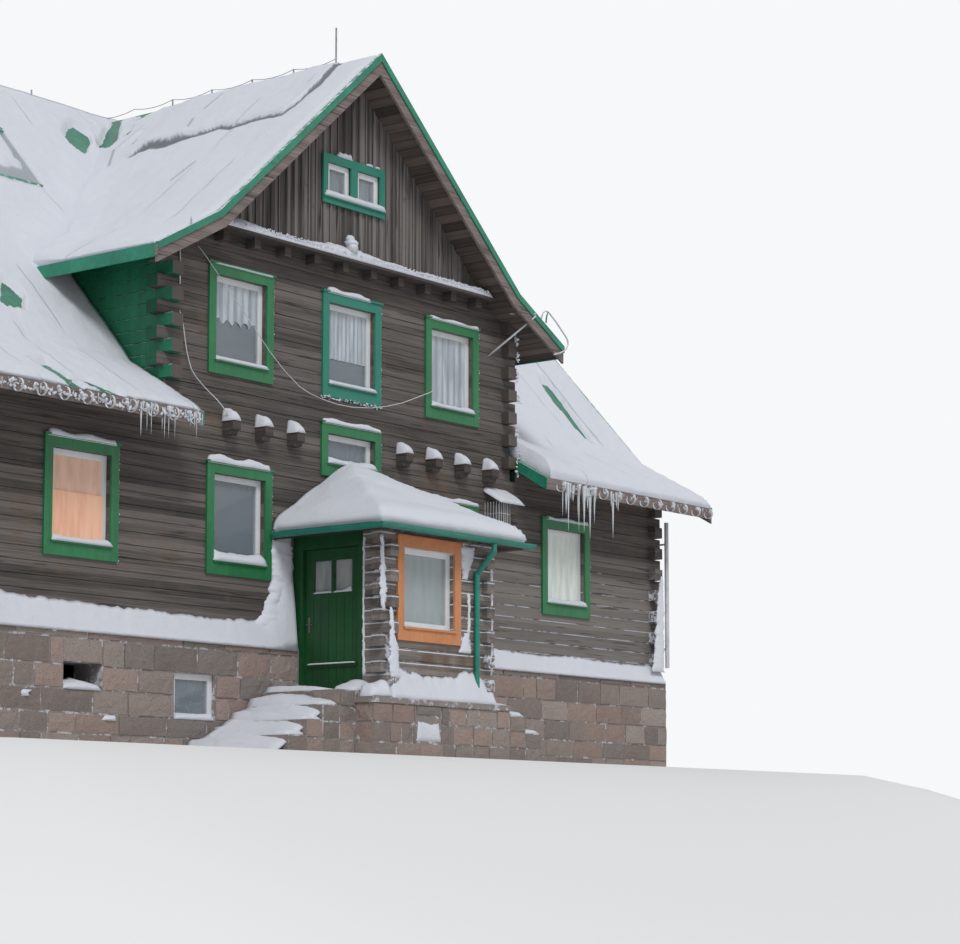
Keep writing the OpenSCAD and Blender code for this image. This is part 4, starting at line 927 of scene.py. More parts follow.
def wing_depth(x, y):
    d = 0.085 + 0.03 * fluff(x, y, 0.8, 3.0) + 0.010 * fluff(x, y, 4.0, 7.0)
    if -1.9 < x < 0.4 and y < -1.2:
        into = inside(x, y, SLAB)
        d += 0.085 * ease(into, 0.0, 0.055) * ease(-y, 1.7, 2.3) * ease(x, 0.35, 0.0)
        d += 0.05 * ease(into, 0.0, 0.05) * ease(into, 0.24, 0.10) * ease(-y, 2.1, 2.3) * ease(-y, 3.4, 3.0)
    d += 0.12 * ease(abs(main_z(y) - wing_z(x)), 0.8, 0.0) * ease(abs(x), 1.6, 2.6)
    d *= 0.40 + 0.60 * ease(abs(x), 0.0, 0.22)
    if -1.3 < y < -0.1:
        d = min(d, -0.02 + 0.2 * ease(abs(x + 0.02) + 0.02 * fluff(x, y, 6.0), 0.04, 0.14))
    d = worn_off(x, y, d)
    edge = min(rounded(WING_VERGE - abs(y), 0.13), 0.25 + 0.75 * rounded(WING_EAVE + 0.005 - abs(x), 0.14))
    return d * edge if d > 0 else d


def wing_keep(x, y):
    return wing_z(x) >= main_z(y) - 0.16


wing_ys = finer(sorted(-v for v in spaced(0.0, WING_VERGE, 0.06, 0.12)), -5.55, -0.05, 0.03)
wing_ys = finer(wing_ys, -5.45, -5.10, 0.014)
wing_xs = sorted([0.0] + [s * v for s in (-1, 1) for v in spaced(0.05, WING_EAVE, 0.06, 0.12)])
for tag, xs, ys, marks in (
        ("front", finer(finer(wing_xs, -1.75, 0.0, 0.027), -1.56, -1.18, 0.014), wing_ys, wing_seams_and_step_shade),
        ("back", wing_xs[::2], spaced(0.0, WING_VERGE, 0.12, 0.12), None)):
    blanket("snow_wing_roof_" + tag, xs, ys, lambda x, y: wing_z(x), wing_depth, wing_keep, snow_wing, marks)

# %% [markdown]
# ### Porch roof
# Deep snow lies on the small hipped roof like a pillow and bulges over the
# gutter.

# %% Snow on the porch roof
OVER = 0.045


def porch_depth(x, y):
    d = 0.27 + 0.05 * fluff(x, y, 1.1, 11.0)
    d += 0.06 * ease(abs(x - PX), 0.7, 0.0) * ease(y, -6.9, -5.6)
    away = min(y - PY0 + 0.05, PHALF - abs(x - PX) + 0.05)
    d += 0.05 * ease(away, 0.55, 0.25) * ease(away, 0.0, 0.2)
    return d * (0.10 + 0.90 * rounded(away, 0.14)) * (0.66 + 0.34 * ease(away, 0.1, 1.0))


porch_xs = spaced(PX - PHALF - OVER, PX + PHALF + OVER, 0.06, 0.2)
porch_ys = [v for v in spaced(PY0 - OVER, PY1 + 0.2, 0.06, 0.2) if v < PY1 - 0.02] + [PY1 - 0.01]
blanket("snow_porch_roof", porch_xs, porch_ys, porch_z, porch_depth, lambda x, y: True, snow_plain)

# %% [markdown]
# ## Places on the walls
# Windows stand in four walls and in the porch. One function turns a place on a
# wall, its distance out and its height into a point, so each thing that repeats
# is written once. "leaf" is the porch door's face, "stub" the wall beside it.

# %% Walls and windows
# the axis that a wall faces, where its face is, and which way it faces
WALLS = {"front": ("y", -5.45, -1), "back": ("y", 5.45, 1), "porch": ("y", -7.23, -1), "left": ("x", -8.25, -1),
         "right": ("x", 8.25, 1), "leaf": ("x", -1.235, -1), "stub": ("x", -1.27, -1)}
SIDES = ("front", "back", "left", "right")


def place(side, u, out, z):
    axis, face, way = WALLS[side]
    return (u, face + way * out, z) if axis == "y" else (face + way * out, u, z)


# each window: middle along the wall, foot, width and height over its boards
COLUMNS = (-5.54, -2.455, 2.455, 5.54)
LOW, HIGH = [(z, 1.36, 1.6) for z in (2.6, 5.5)]
GROUND = [(x, *LOW) for x in COLUMNS]
UPPER = [(x, *HIGH) for x in (COLUMNS[1], 0.0, COLUMNS[2])]
ENDS = [(y, *LOW) for y in (-3.66, -1.22, 1.22, 3.66)] + [(y, *HIGH) for y in (-1.22, 1.22)]
STAIR, PORCH, ATTIC = (0.0, 4.29, 1.38, 0.8), (-0.30, 1.70, 1.46, 1.50), (0.0, 8.472, 1.44, 0.77)
WINDOWS = [("front", w) for w in GROUND + UPPER + [STAIR]]
WINDOWS += [("back", w) for w in GROUND + [(0.0, *LOW)] + UPPER]
WINDOWS += [(s, w) for s in ("left", "right") for w in ENDS] + [("porch", PORCH)]
# windows of the front that differ from the rest
LOW_LEFT, LOW_NEXT, _, LOW_RIGHT = [("front", x, LOW[0]) for x in COLUMNS]
HIGH_LEFT = ("front", COLUMNS[1], HIGH[0])
print("windows:", len(WINDOWS))

# %% [markdown]
# ## Snow on ledges
# Each ledge, sill, window head and beam end carries its own heap. A heap is a
# small grid with a flat foot, rounded at its free ends, highest at the wall.

# %% Heap maker
class Heaps:
    def __init__(self):
        self.verts, self.faces = [], []

    def add(self, side, u0, u1, out0, out1, foot, depth, pitch=0.05, across=5, lip=0.03):
        """foot(u, out): what it lies on. depth(s, t): s and t from 0 to 1. Both may be numbers."""
        under = foot if callable(foot) else lambda u, out: foot
        deep = depth if callable(depth) else lambda s, t: depth
        n = max(4, round((u1 - u0) / pitch))
        base, rings, wide = len(self.verts), [], out1 - out0
        for i in range(n + 1):
            u = u0 + (u1 - u0) * (i / n)
            ends = rounded(min(u - u0, u1 - u), min(0.06, 0.45 * (u1 - u0)))
            points = []
            for j in range(across + 1):
                t = j / across
                out = out0 + (out1 + lip * ends - out0) * t
                front = 1.0 if t == 0 else rounded((1.0 - t) * wide, 0.7 * wide) * 0.85 + 0.15
                d = deep(i / n, t) * ends * front
                bump = 0.12 * d * fluff(u * 9, out * 9 + under(u, out), 1.0, base * 0.01)
                points.append(place(side, u, out, under(u, out) + max(0.0, d + bump)))
            points += [place(side, u, out, under(u, out) - 0.006) for out in (out1, out0)]
            rings.append(range(len(self.verts), len(self.verts) + len(points)))
            self.verts += points
        self.faces += tube(rings)

    def made(self, name, body=HOUSE):
        return piece(name, self.verts, self.faces, snow_plain, body=body)


heaps = Heaps()
rng = random.Random(41)

# %% Heads and sills of the windows
SILL, ATTIC_SILL = 0.2, 8.582
# how far the snow on a head stays from the left and right end, and its depth
HEADS = {LOW_NEXT: (0.0, 0.04, 0.11), HIGH_LEFT: (0.1, 0.02, 0.025)}
for side, (u, z, w, h) in WINDOWS:
    if side == "porch":
        heaps.add(side, u - 0.60, u + 0.60, -0.075, 0.03, z + SILL,
                  lambda s, t: 0.05 * (1 - 0.7 * t) * (0.4 + 0.6 * ease(s, 0.5, 0.0)))
        continue
    left = rng.uniform(0.0, 0.12)
    right = rng.uniform(0.0, 0.3) if rng.random() < 0.5 else 0.0
    deep = rng.uniform(0.05, 0.085)
    left, right, deep = HEADS.get((side, u, z), (left, right, deep))
    heaps.add(side, u - w / 2 + left, u + w / 2 - right, -0.004, 0.04, z + h,
              lambda s, t: deep * (0.8 + 0.4 * math.sin(6 * s + deep * 90) ** 2))
    deep = rng.uniform(0.07, 0.11) if (side, u, z) != LOW_NEXT else 0.16
    heaps.add(side, u - w / 2 + 0.125, u + w / 2 - 0.125, -0.07, 0.065, z + SILL,
              lambda s, t: deep * (1 - 0.45 * t) * (0.9 + 0.3 * ease(abs(s - 0.5), 0.2, 0.5)))
for side in SIDES:
    u, z, w, h = ATTIC
    for u0, u1, depth in ((-0.40, -0.05, lambda s, t: 0.09 * (0.6 + 0.4 * math.sin(9 * s) ** 2)),
                          (0.28, 0.44, 0.035), (0.50, 0.60, 0.03)):
        heaps.add(side, u + u0, u + u1, 0.020, 0.057, z + h, depth)
    heaps.add(side, u - 0.70, u + 0.72, 0.0, 0.085, ATTIC_SILL, lambda s, t: 0.10 - 0.02 * t)
print("heaps on heads and sills:", len(heaps.faces), "faces")

# %% Ledges of the base, gable ledges and beam ends
BASE_X, BASE_Y = 8.37, 5.57
PORCH_LEFT, PORCH_RIGHT = -1.275, 1.165
LEDGE_TOP, BEAM_TOP = 7.702, 4.826
BEAMS = (-2.73, -2.04, -1.35, 1.17, 1.90, 2.62, 3.35)


def on_base(u, out):
    return LOG_FOOT - out


def base_snow(side, u0, u1, tall, *sizes):
    """Snow on the sloping ledge, as high at the wall as tall(u) says."""
    heaps.add(side, u0, u1, 0.0, 0.12, on_base,
              lambda s, t: max(0.06, tall(u0 + (u1 - u0) * s) * (1 - t) ** 0.8), *sizes)


def left_tall(u):
    drift = (1.1 + 0.5 * fluff(u, 7, 3.0)) * ease(u, -2.1, -1.36) ** 1.5
    return 0.30 - 0.06 * ease(u, -8.0, -4.0) + 0.04 * fluff(u, 0, 0.8) + drift


def right_tall(u):
    return 0.26 - 0.10 * ease(u, 2.0, 4.5) + 0.03 * fluff(u, 3, 0.8) + 0.25 * ease(u, 1.6, 1.2)


base_snow("front", -BASE_X, PORCH_LEFT, left_tall, 0.06, 8, 0.05)
base_snow("front", PORCH_RIGHT, BASE_X, right_tall, 0.06, 8, 0.05)
for side, half in (("back", BASE_X), ("left", BASE_Y), ("right", BASE_Y)):
    base_snow(side, -half, half, lambda u: 0.22 + 0.05 * fluff(u, half, 0.7), 0.08, 6, 0.04)
for side in ("front", "back"):
    heaps.add(side, -3.20, 3.20, 0.015, 0.272, lambda u, out: LEDGE_TOP - 0.08 * out / 0.28,
              lambda s, t: 0.105 + 0.05 * fluff(s * 6, 1, 1.0) + 0.06 * ease(s, 0.36, 0.44) * ease(s, 0.62, 0.50),
              0.04, 8, 0.022)
for x in BEAMS:
    for side in ("front", "back"):
        heaps.add(side, x - 0.10, x + 0.10, 0.0, 0.20, BEAM_TOP, lambda s, t: 0.20 - 0.08 * t, 0.025, 7)
print("heaps with ledges and beams:", len(heaps.faces), "faces")

# %% Porch: drift under the window, landing, steps and the stub wall
DRIFT = [(0.0, 0.46), (0.1, 0.41), (0.3, 0.35), (0.5, 0.32), (0.66, 0.36), (0.73, 0.42), (0.79, 0.46), (0.85, 0.44),
         (0.92, 0.38), (1.0, 0.32)]
heaps.add("porch", -1.26, 1.17, 0.0, 0.15, 0.85,
          lambda s, t: np.interp(s, *zip(*DRIFT)) * (1 - t) ** 0.75 + 0.03, 0.04, 8, 0.010)
for row in ((-1.72, PORCH_LEFT, -0.10, 0.14, 0.86, lambda s, t: 0.14 + 0.12 * s, 0.05, 6, 0.02),
            (PORCH_RIGHT, 1.44, -1.6, 0.14, 0.85, lambda s, t: 0.45 * (1 - s) * (1 - t) + 0.06, 0.05, 20, 0.02),
            (1.47, 1.84, -0.44, 0.13, 0.70, 0.10, 0.05, 8, 0.02),
            (1.87, 2.24, -0.44, 0.13, 0.45, 0.09, 0.05, 8, 0.02),
            (-2.04, -1.30, -1.62, -0.55, 0.95, lambda s, t: 0.04 + 0.05 * (1 - s), 0.06, 12, 0.01),
            (-1.75, -1.28, -0.56, -0.19, 0.95, lambda s, t: 0.06 + 0.13 * s, 0.05, 8, 0.01)):
    heaps.add("porch", *row)
TREAD, STEP_FOOT = 0.35, -2.05
for k, top in enumerate((0.725, 0.5, 0.275)):
    x1 = STEP_FOOT - TREAD * k
    heaps.add("porch", x1 - 0.34, x1 - 0.01, -1.64, -0.20, top,
              lambda s, t: 0.10 + 0.07 * s + 0.03 * math.sin(5 * t + k), 0.06, 14, 0.015)
heaps.add("porch", -3.66, -2.12, -1.62, -0.24, lambda u, out: max(0.0, 0.60 + 0.62 * (u + 2.39)),
          lambda s, t: 0.145 + 0.030 * math.sin(6 * s + 4 * t) + 0.06 * (1 - s) - 0.05 * t, 0.08, 18, 0.025)
print("heaps with the porch:", len(heaps.faces), "faces")

# %% Basement openings and the niche
heaps.add("front", -5.92, -5.22, -0.10, 0.125, 0.83,
          lambda s, t: (0.16 - 0.06 * abs(2 * s - 1)) * (1 - 0.4 * t), 0.05, 6, 0.035)
heaps.add("front", -3.82, -3.04, 0.04, 0.13, 0.51, lambda s, t: 0.06 + 0.04 * s, 0.05, 4, 0.02)
heaps.add("porch", -0.76, -0.19, 0.10, 0.15, 0.26, lambda s, t: 0.36 - 0.05 * s, 0.05, 3, 0.02)
heaps.made("snow_on_ledges")

# %% [markdown]
# The door carries its own snow, on the weather bar and in both lights, and it
# swings with the leaf.

# %% Snow on the door
(_, pane_y0, pane_z0), (_, pane_y1, pane_z1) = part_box("porch_door_panes")
half = (pane_y1 - pane_y0) / 2
on_door = Heaps()
on_door.add("leaf", -6.64, -5.715, 0.002, 0.022, 1.391, 0.016, 0.04, 3, 0.003)
on_door.add("leaf", pane_y0 + 0.004, pane_y0 + half - 0.02, -0.043, -0.006, pane_z0,
            lambda s, t: 0.022 + 0.09 * max(0.0, 1 - 1.6 * s) ** 2, 0.02, 3, 0.003)
on_door.add("leaf", pane_y0 + half + 0.02, pane_y1 - 0.004, -0.043, -0.006, pane_z0, 0.022, 0.02, 3, 0.003)
on_door.made("snow_on_door", LEAF)

# %% [markdown]
# ## Squared stones
# The base is built of courses of squared blocks. Their lengths follow a fixed
# seed, each block stands a little proud of the mortar, and its face is uneven.
# Blocks are cut back where a basement opening is.

# %% Stone maker
X, Y, Z = Vector((1, 0, 0)), Vector((0, 1, 0)), Vector((0, 0, 1))
JOINT, FACET = 0.018, 0.12


class Stones:
    def __init__(self, seed):
        self.verts, self.faces, self.tones = [], [], []
        self.rng = random.Random(seed)

    def nudge(self, k, n):
        """How far a point of the rim is moved: in from the ends, and a little at random."""
        return (0.005 if k == 0 else -0.005 if k == n else 0) + self.rng.uniform(-0.006, 0.006)

    def block(self, corner, along, out, w, h):
        """One block: its corner, its direction, the way it faces, width and height."""
        corner, r, base = Vector(corner), self.rng, len(self.verts)
        proud = r.uniform(0.010, 0.028)
        nu, nv = max(2, round(w / FACET)), max(2, round(h / FACET))
        tone = r.random()
        for j in range(nv + 1):
            for i in range(nu + 1):
                a, b = i / nu * w, j / nv * h
                rim = i in (0, nu) or j in (0, nv)
                d = proud - (0.010 if rim else 0.0) + r.uniform(-0.009, 0.009) * (0.4 if rim else 1.0)
                if rim:
                    a += self.nudge(i, nu)
                    b += self.nudge(j, nv)
                self.verts.append(corner + along * a + Z * b + out * d)
        row, back = nu + 1, len(self.verts)
        self.faces += grid(nv + 1, row, base)
        ring = [base + i for i in range(row)] + [base + j * row + nu for j in range(1, nv + 1)]
        ring += [base + nv * row + i for i in range(nu - 1, -1, -1)] + [base + j * row for j in range(nv - 1, 0, -1)]
        n = len(ring)
        self.verts += [v - out * ((v - corner).dot(out) + 0.012) for v in [self.verts[k] for k in ring]]
        self.faces += [(ring[(k + 1) % n], ring[k], back + k, back + (k + 1) % n) for k in range(n)]
        self.faces.append(tuple(back + k for k in reversed(range(n))))
        self.tones += [tone] * (len(self.verts) - base)

    def wall(self, corner, along, length, heights, out, holes=(), low=0.34, high=0.95):
        """Courses of blocks. holes: from, to, foot and top. low, high: the shortest and longest block."""
        z = 0.0
        for h in heights:
            spans, u = [], 0.0
            while u < length - 1e-6:
                w = min(self.rng.uniform(low, high) * (1.0 if h > 0.2 else 1.4), length - u)
                if length - u - w < 0.16:
                    w = length - u
                spans.append((u, u + w))
                u += w
            for span in spans:
                parts = [span]
                for h0, h1, z0, z1 in holes:
                    if z + h > z0 + 0.01 and z < z1 - 0.01:
                        parts = [q for p0, p1 in parts for q in ((p0, min(p1, h0)), (max(p0, h1), p1))
                                 if q[1] - q[0] > 0.05]
                for p0, p1 in parts:
                    self.block(Vector(corner) + along * (p0 + JOINT / 2) + Z * (z + JOINT / 2), along, out,
                               p1 - p0 - JOINT, h - JOINT)
            z += h

    def made(self, name):
        store(piece(name, self.verts, self.faces, sandstone, smooth=False), "block", self.tones)


# %% Stones of the base
COURSES = [0.24, 0.27, 0.32, 0.32, 0.36, 0.12]
front_holes = [(BASE_X + a, BASE_X + b, z0, z1) for a, b, z0, z1 in (
    (-5.91, -5.21, 0.83, 1.19), (-3.84, -3.02, 0.51, 1.15), (-1.27, 1.45, 0.0, 0.85), (-1.30, 1.16, 0.0, 1.7))]
back_holes = [(BASE_X + x - 0.41, BASE_X + x + 0.41, 0.51, 1.15) for x in COLUMNS]
base = Stones(7)
base.wall((-BASE_X, -BASE_Y, 0), X, 2 * BASE_X, COURSES, -Y, front_holes)
base.wall((-BASE_X, BASE_Y, 0), X, 2 * BASE_X, COURSES, Y, back_holes)
base.wall((-BASE_X, -BASE_Y, 0), Y, 2 * BASE_Y, COURSES, -X)
base.wall((BASE_X, -BASE_Y, 0), Y, 2 * BASE_Y, COURSES, X)
base.block((-5.90, -BASE_Y, 1.20), X, -Y, 0.68, 0.30)
base.made("base_stones")

# %% Stones of the porch plinth, stub wall and steps
PLINTH_Y, STEP_Y, RISE = -7.38, -7.05, 0.225
PC = [0.22, 0.28, 0.27, 0.08]
porch_stone = Stones(23)
porch_stone.wall((-1.72, PLINTH_Y, 0), X, 3.17, PC, -Y, [(0.96, 1.53, 0.26, 0.62)], 0.25, 0.55)
porch_stone.wall((1.45, PLINTH_Y, 0), Y, 1.81, PC, X, [(0.0, 0.6, 0.0, 0.7)], 0.3, 0.6)
porch_stone.wall((-1.72, PLINTH_Y, 0), Y, 0.33, PC, -X, (), 0.3, 0.4)
porch_stone.block((-0.75, PLINTH_Y, 0.63), X, -Y, 0.55, 0.13)
porch_stone.wall((1.45, PLINTH_Y, 0), X, 0.40, [0.22, 0.25, 0.23], -Y, (), 0.2, 0.4)
porch_stone.wall((1.85, PLINTH_Y, 0), X, 0.40, [0.22, 0.23], -Y, (), 0.2, 0.4)
porch_stone.wall((2.25, PLINTH_Y, 0), Y, 0.60, [0.22, 0.23], X, (), 0.3, 0.4)
for k, top in enumerate((0.95, 0.725, 0.5, 0.275)):
    x0 = STEP_FOOT - TREAD * k
    x1 = -1.72 if k == 0 else x0 + TREAD
    courses = max(1, round(top / 0.24))
    porch_stone.wall((x0, STEP_Y, 0), X, x1 - x0, [top / courses] * courses, -Y, (), 0.25, 0.5)
    porch_stone.wall((x0, STEP_Y, top - RISE), Y, 1.48, [RISE], -X, (), 0.5, 0.9)
porch_stone.made("porch_stones")

# %% [markdown]
# ## Curtains and blinds
# Thin cloth hangs a hand's breadth behind the glass. Each curtain is one sheet
# with upright folds, cut wider than the window, some with a scalloped edge.

# %% Curtain maker
def curtain(name, side, u0, u1, z0, z1, behind, mat, folds, deep, scallop=0.0, body=HOUSE):
    """u0 to u1 and z0 to z1: the pane it fills. scallop: how deep its lower edge is cut."""
    across, down = max(folds * 8, 16), 10
    phase = random.Random(name).uniform(0, 6)
    verts = []
    for j in range(down + 1):
        for i in range(across + 1):
            s = i / across
            wave = math.sin(2 * math.pi * folds * s + phase)
            wave += 0.3 * math.sin(2 * math.pi * folds * 0.5 * s + 1.3)
            out = -behind + deep * (0.5 + 0.5 * j / down) * wave
            foot = z0 + scallop * abs(math.sin(math.pi * 5 * s))
            verts.append(Vector(place(side, u0 + (u1 - u0) * s, out, z1 + (foot - z1) * j / down)))
    row = across + 1
    middle = verts[down // 2 * row:(down // 2 + 1) * row]
    flat = sum((b - a).length for a, b in zip(middle, middle[1:]))
    o = piece(name, verts, grid(down + 1, row), mat, body=body)
    z1 - z0
    None if scallop == 0 else flat * (z1 - z0 - scallop * 0.63)


# %% Curtains
SASH, SASH_FOOT = 0.22, 0.27
for count, (side, w) in enumerate(WINDOWS):
    u, z, wide, high = w
    u0, u1, z0, z1 = u - wide / 2 + SASH, u + wide / 2 - SASH, z + SASH_FOOT, z + high - SASH
    here, tag = (side, u, z), "curtain_%02d_%s" % (count, side)
    if here == LOW_LEFT:
        curtain(tag, side, u0, u1, z0, z0 + 0.62, 0.050, peach_cloth, 1, 0.003)
        curtain(tag + "_lace", side, u0, u1, z0 + 0.50, z1, 0.075, lace_cloth, 5, 0.008, 0.06)
    elif here == HIGH_LEFT:
        curtain(tag, side, u0, u1, z1 - 0.62, z1, 0.09, net_cloth, 6, 0.012, 0.09)
    elif here == LOW_RIGHT:
        curtain(tag, side, u0, u1, z0, z1, 0.08, green_cloth, 4, 0.010)
    elif side == "porch":
        curtain(tag, side, u0, u1, z0, z1, 0.115, green_cloth, 3, 0.008)
    elif here != LOW_NEXT and w != STAIR:
        lift, folds = rng.choice((0.0, 0.0, 0.35)), rng.choice((6, 8, 10))
        curtain(tag, side, u0, u1, z0 + lift, z1, 0.09, net_cloth, folds, 0.012)
for side in SIDES:
    for k, u in enumerate((-0.344, 0.344)):
        name = "attic_curtain_%s_%d" % (side, k)
        curtain(name, side, u - 0.175, u + 0.175, 8.675, 9.02, 0.12, net_cloth, 3, 0.01)
for k, y in enumerate((pane_y0, (pane_y0 + pane_y1) / 2 + 0.01)):
    curtain("door_curtain_%d" % k, "stub", y, y + 0.36, pane_z0, pane_z1, 0.103, dim_cloth, 2, 0.003, body=LEAF)

# %% [markdown]
# ## Icicles and rime
# Icicles hang in rows from the eaves and rime grows in crumbs along edges that
# face the wind. Both repeat along a line, which is what Geometry Nodes do best:
# resample the line, stand one shape on each point and vary its size.

# %% A tree that grows along lines
G, RANDOM = "NodeSocketGeometry", "FunctionNodeRandomValue"


def growth(name, icicles):
    t, i = group(name, [
        ("Geometry", G), ("Pitch", F, 0.08), ("Thin", F, 0.01), ("Thick", F, 0.02), ("Short", F, 0.1),
        ("Long", F, 0.5), ("Stray", F, 0.02), ("Seed", "NodeSocketInt", 1), ("Finish", "NodeSocketMaterial")],
        [("Geometry", G)], "GeometryNodeTree")
    line = put(t, "GeometryNodeMeshToCurve", {"Mesh": i["Geometry"]})
    dots = put(t, "GeometryNodeResampleCurve", {"Curve": line, "Length": i["Pitch"]}, mode="LENGTH")
    low, high = [put(t, "VectorMath", {0: (s, s, s), "Scale": i["Stray"]}, operation="SCALE") for s in (-1, 1)]
    away = put(t, RANDOM, {0: low, 1: high, "Seed": i["Seed"]}, data_type="FLOAT_VECTOR")
    moved = put(t, "GeometryNodeSetPosition", {"Geometry": dots, "Offset": away})
    fat = put(t, RANDOM, {2: i["Thin"], 3: i["Thick"], "Seed": i["Seed"]}, data_type="FLOAT")[1]
    tall = put(t, RANDOM, {2: 0.0, 3: 1.0, "Seed": i["Seed"] + 5.0}, data_type="FLOAT")[1]
    length = i["Short"] + calc("POWER", tall, 2.2) * (i["Long"] - i["Short"])
    ins = {"Points": moved, "Scale": join(fat, fat, length)}
    if icicles:
        cone = put(t, "GeometryNodeMeshCone", {"Vertices": 7, "Side Segments": 3, "Radius Top": 1.0,
                                               "Radius Bottom": 0.04, "Depth": 1.0})
        ins["Instance"] = put(t, "GeometryNodeTransform", {"Geometry": cone, "Translation": (0, 0, -1)})
    else:
        ins["Instance"] = put(t, "GeometryNodeMeshIcoSphere", {"Radius": 1.0, "Subdivisions": 1})
        ins["Rotation"] = put(t, RANDOM, {0: (0, 0, 0), 1: (3.1, 3.1, 3.1), "Seed": i["Seed"]},
                              data_type="FLOAT_VECTOR")
    real = put(t, "GeometryNodeRealizeInstances", {"Geometry": put(t, "GeometryNodeInstanceOnPoints", ins)})
    done = put(t, "GeometryNodeSetMaterial", {"Geometry": real, "Material": i["Finish"]})
    put(t, "NodeGroupOutput", {0: done})
    return t


icicle_tree, rime_tree = growth("icicles along a line", True), growth("rime along a line", False)

# %% Growing a piece
SIZES = ("Finish", "Pitch", "Thin", "Thick", "Short", "Long", "Stray", "Seed")


def grow(name, tree, lines, *sizes):
    """A plain mesh of what the tree grows along the lines of points, with the inputs of SIZES."""
    mesh = bpy.data.meshes.new(name + "_lines")
    verts, edges = [], []
    for points in lines:
        edges += [(len(verts) + k, len(verts) + k + 1) for k in range(len(points) - 1)]
        verts += points
    mesh.from_pydata(verts, edges, [])
    src = show(name + "_lines", mesh)
    mod = src.modifiers.new("grow", "NODES")
    mod.node_group = tree
    sockets = {s.name: s.identifier for s in tree.interface.items_tree if s.in_out == "INPUT"}
    for k, v in zip(SIZES, sizes):
        mod[sockets[k]] = v
    bpy.context.view_layer.update()
    made = bpy.data.meshes.new_from_object(src.evaluated_get(bpy.context.evaluated_depsgraph_get()))
    bpy.data.objects.remove(src)
    made.name = name
    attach(show(name, made), HOUSE)
    print(name, len(made.polygons), "faces")


def line(a, b, n):
    """n + 1 points from a to b."""
    return [tuple(p + (q - p) * k / n for p, q in zip(a, b)) for k in range(n + 1)]


# %% [markdown]
# The rows of icicles hang where the roof sheds its water: at both ends of the
# front eaves beside the wing, and in small fringes elsewhere.

# %% Icicles
DRIP_Y, DRIP_Z = -6.235, 4.68
for name, spans, *sizes in (
        ("icicles_left_eave", [(-5.3, -4.0)], 0.045, 0.008, 0.020, 0.06, 0.46, 0.03, 3),
        ("icicles_right_eave", [(4.45, 5.35), (5.75, 5.95)], 0.045, 0.014, 0.034, 0.25, 0.85, 0.03, 8),
        ("icicles_small", [(5.35, 8.7), (-8.7, -5.3)], 0.11, 0.005, 0.012, 0.02, 0.16, 0.02, 12)):
    rows = [line((x0, DRIP_Y, DRIP_Z), (x1, DRIP_Y, DRIP_Z), 12) for x0, x1 in spans]
    grow(name, icicle_tree, rows, clear_ice, *sizes)

# %% [markdown]
# Rime crumbs line the right edges of the window boards, parts of the corner
# logs, the left eave and the fringe of the snow rolls. Small lumps of snow sit
# on the gutter hooks.

# %% Rime
edges = [[place(side, u + (w / 2 + 0.006), 0.02, z + h * k / 8) for k in range(9)]
         for side, (u, z, w, h) in WINDOWS if side != "porch"]
corner = [line((x, -5.61, z0), (x, -5.61, z1), 6) for x, z0, z1 in (
    (3.985, 6.98, 7.12), (4.02, 6.72, 6.86), (3.99, 6.35, 6.55), (4.03, 6.02, 6.12), (3.99, 5.45, 5.60),
    (4.03, 5.05, 5.2), (3.985, 4.80, 5.0))]
fringe = [line((-3.1, -5.725, 7.70), (3.1, -5.725, 7.70), 40),
          line((-0.70, -5.475, 5.49), (0.70, -5.475, 5.49), 12)]
hooks = [[(s * x, -6.28, 4.62), (s * x, -6.30, 4.66), (s * x, -6.33, 4.62)]
         for s in (-1, 1) for x in np.arange(4.35, 8.8, 0.4)]
eave = [line((-8.8, -6.245, 4.60), (-4.05, -6.245, 4.60), 60)]
for name, rows, mat, *sizes in (
        ("rime_on_window_edges", edges, rime_white, 0.03, 0.004, 0.011, 0.004, 0.018, 0.010, 5),
        ("rime_on_wing_corner", corner, rime_white, 0.012, 0.008, 0.024, 0.01, 0.045, 0.030, 6),
        ("rime_fringe", fringe, rime_white, 0.012, 0.005, 0.015, 0.006, 0.035, 0.022, 14),
        ("snow_on_hooks", hooks, snow_plain, 0.022, 0.014, 0.036, 0.015, 0.05, 0.022, 17),
        ("rime_on_left_eave", eave, rime_white, 0.025, 0.008, 0.026, 0.01, 0.05, 0.035, 21)):
    grow(name, rime_tree, rows, mat, *sizes)

# %% [markdown]
# Packed rime covers the weather side of corners in flat ragged crusts. A crust
# is an upright strip whose edges wander from row to row and whose face is
# uneven.

# %% Crust maker
def crust(name, side, seed, *strips):
    """strips: distance out, thickness and rows of z, from and to."""
    r = random.Random(seed)
    verts, faces, across = [], [], 6
    for out, thick, *shape in strips:
        zs, lo, hi = zip(*shape)
        n, rings = max(5, round((zs[-1] - zs[0]) / 0.02)), []
        for j in range(n + 1):
            z = zs[0] + (zs[-1] - zs[0]) * j / n
            a, b = np.interp(z, zs, lo), np.interp(z, zs, hi)
            jump = min(0.05, 0.40 * (b - a))
            a += jump * (1.1 * fluff(z, seed, 9.0) + r.uniform(-0.25, 0.25))
            b += jump * (1.1 * fluff(z, -seed, 9.0) + r.uniform(-0.25, 0.25))
            ends = rounded(min(j, n - j) / n, 0.1)
            points = []
            for f in [i / across for i in range(across + 1)]:
                d = thick * rounded(min(f, 1 - f), 0.4) * ends * (0.85 + 0.4 * fluff(z, f, 7.0, seed))
                points.append(place(side, a + (b - a) * f, out + d, z))
            points += [place(side, a + (b - a) * f, out - 0.012, z) for f in (1, 0)]
            rings.append(range(len(verts), len(verts) + len(points)))
            verts += points
        faces += tube(rings)
    piece(name, verts, faces, rime_white)


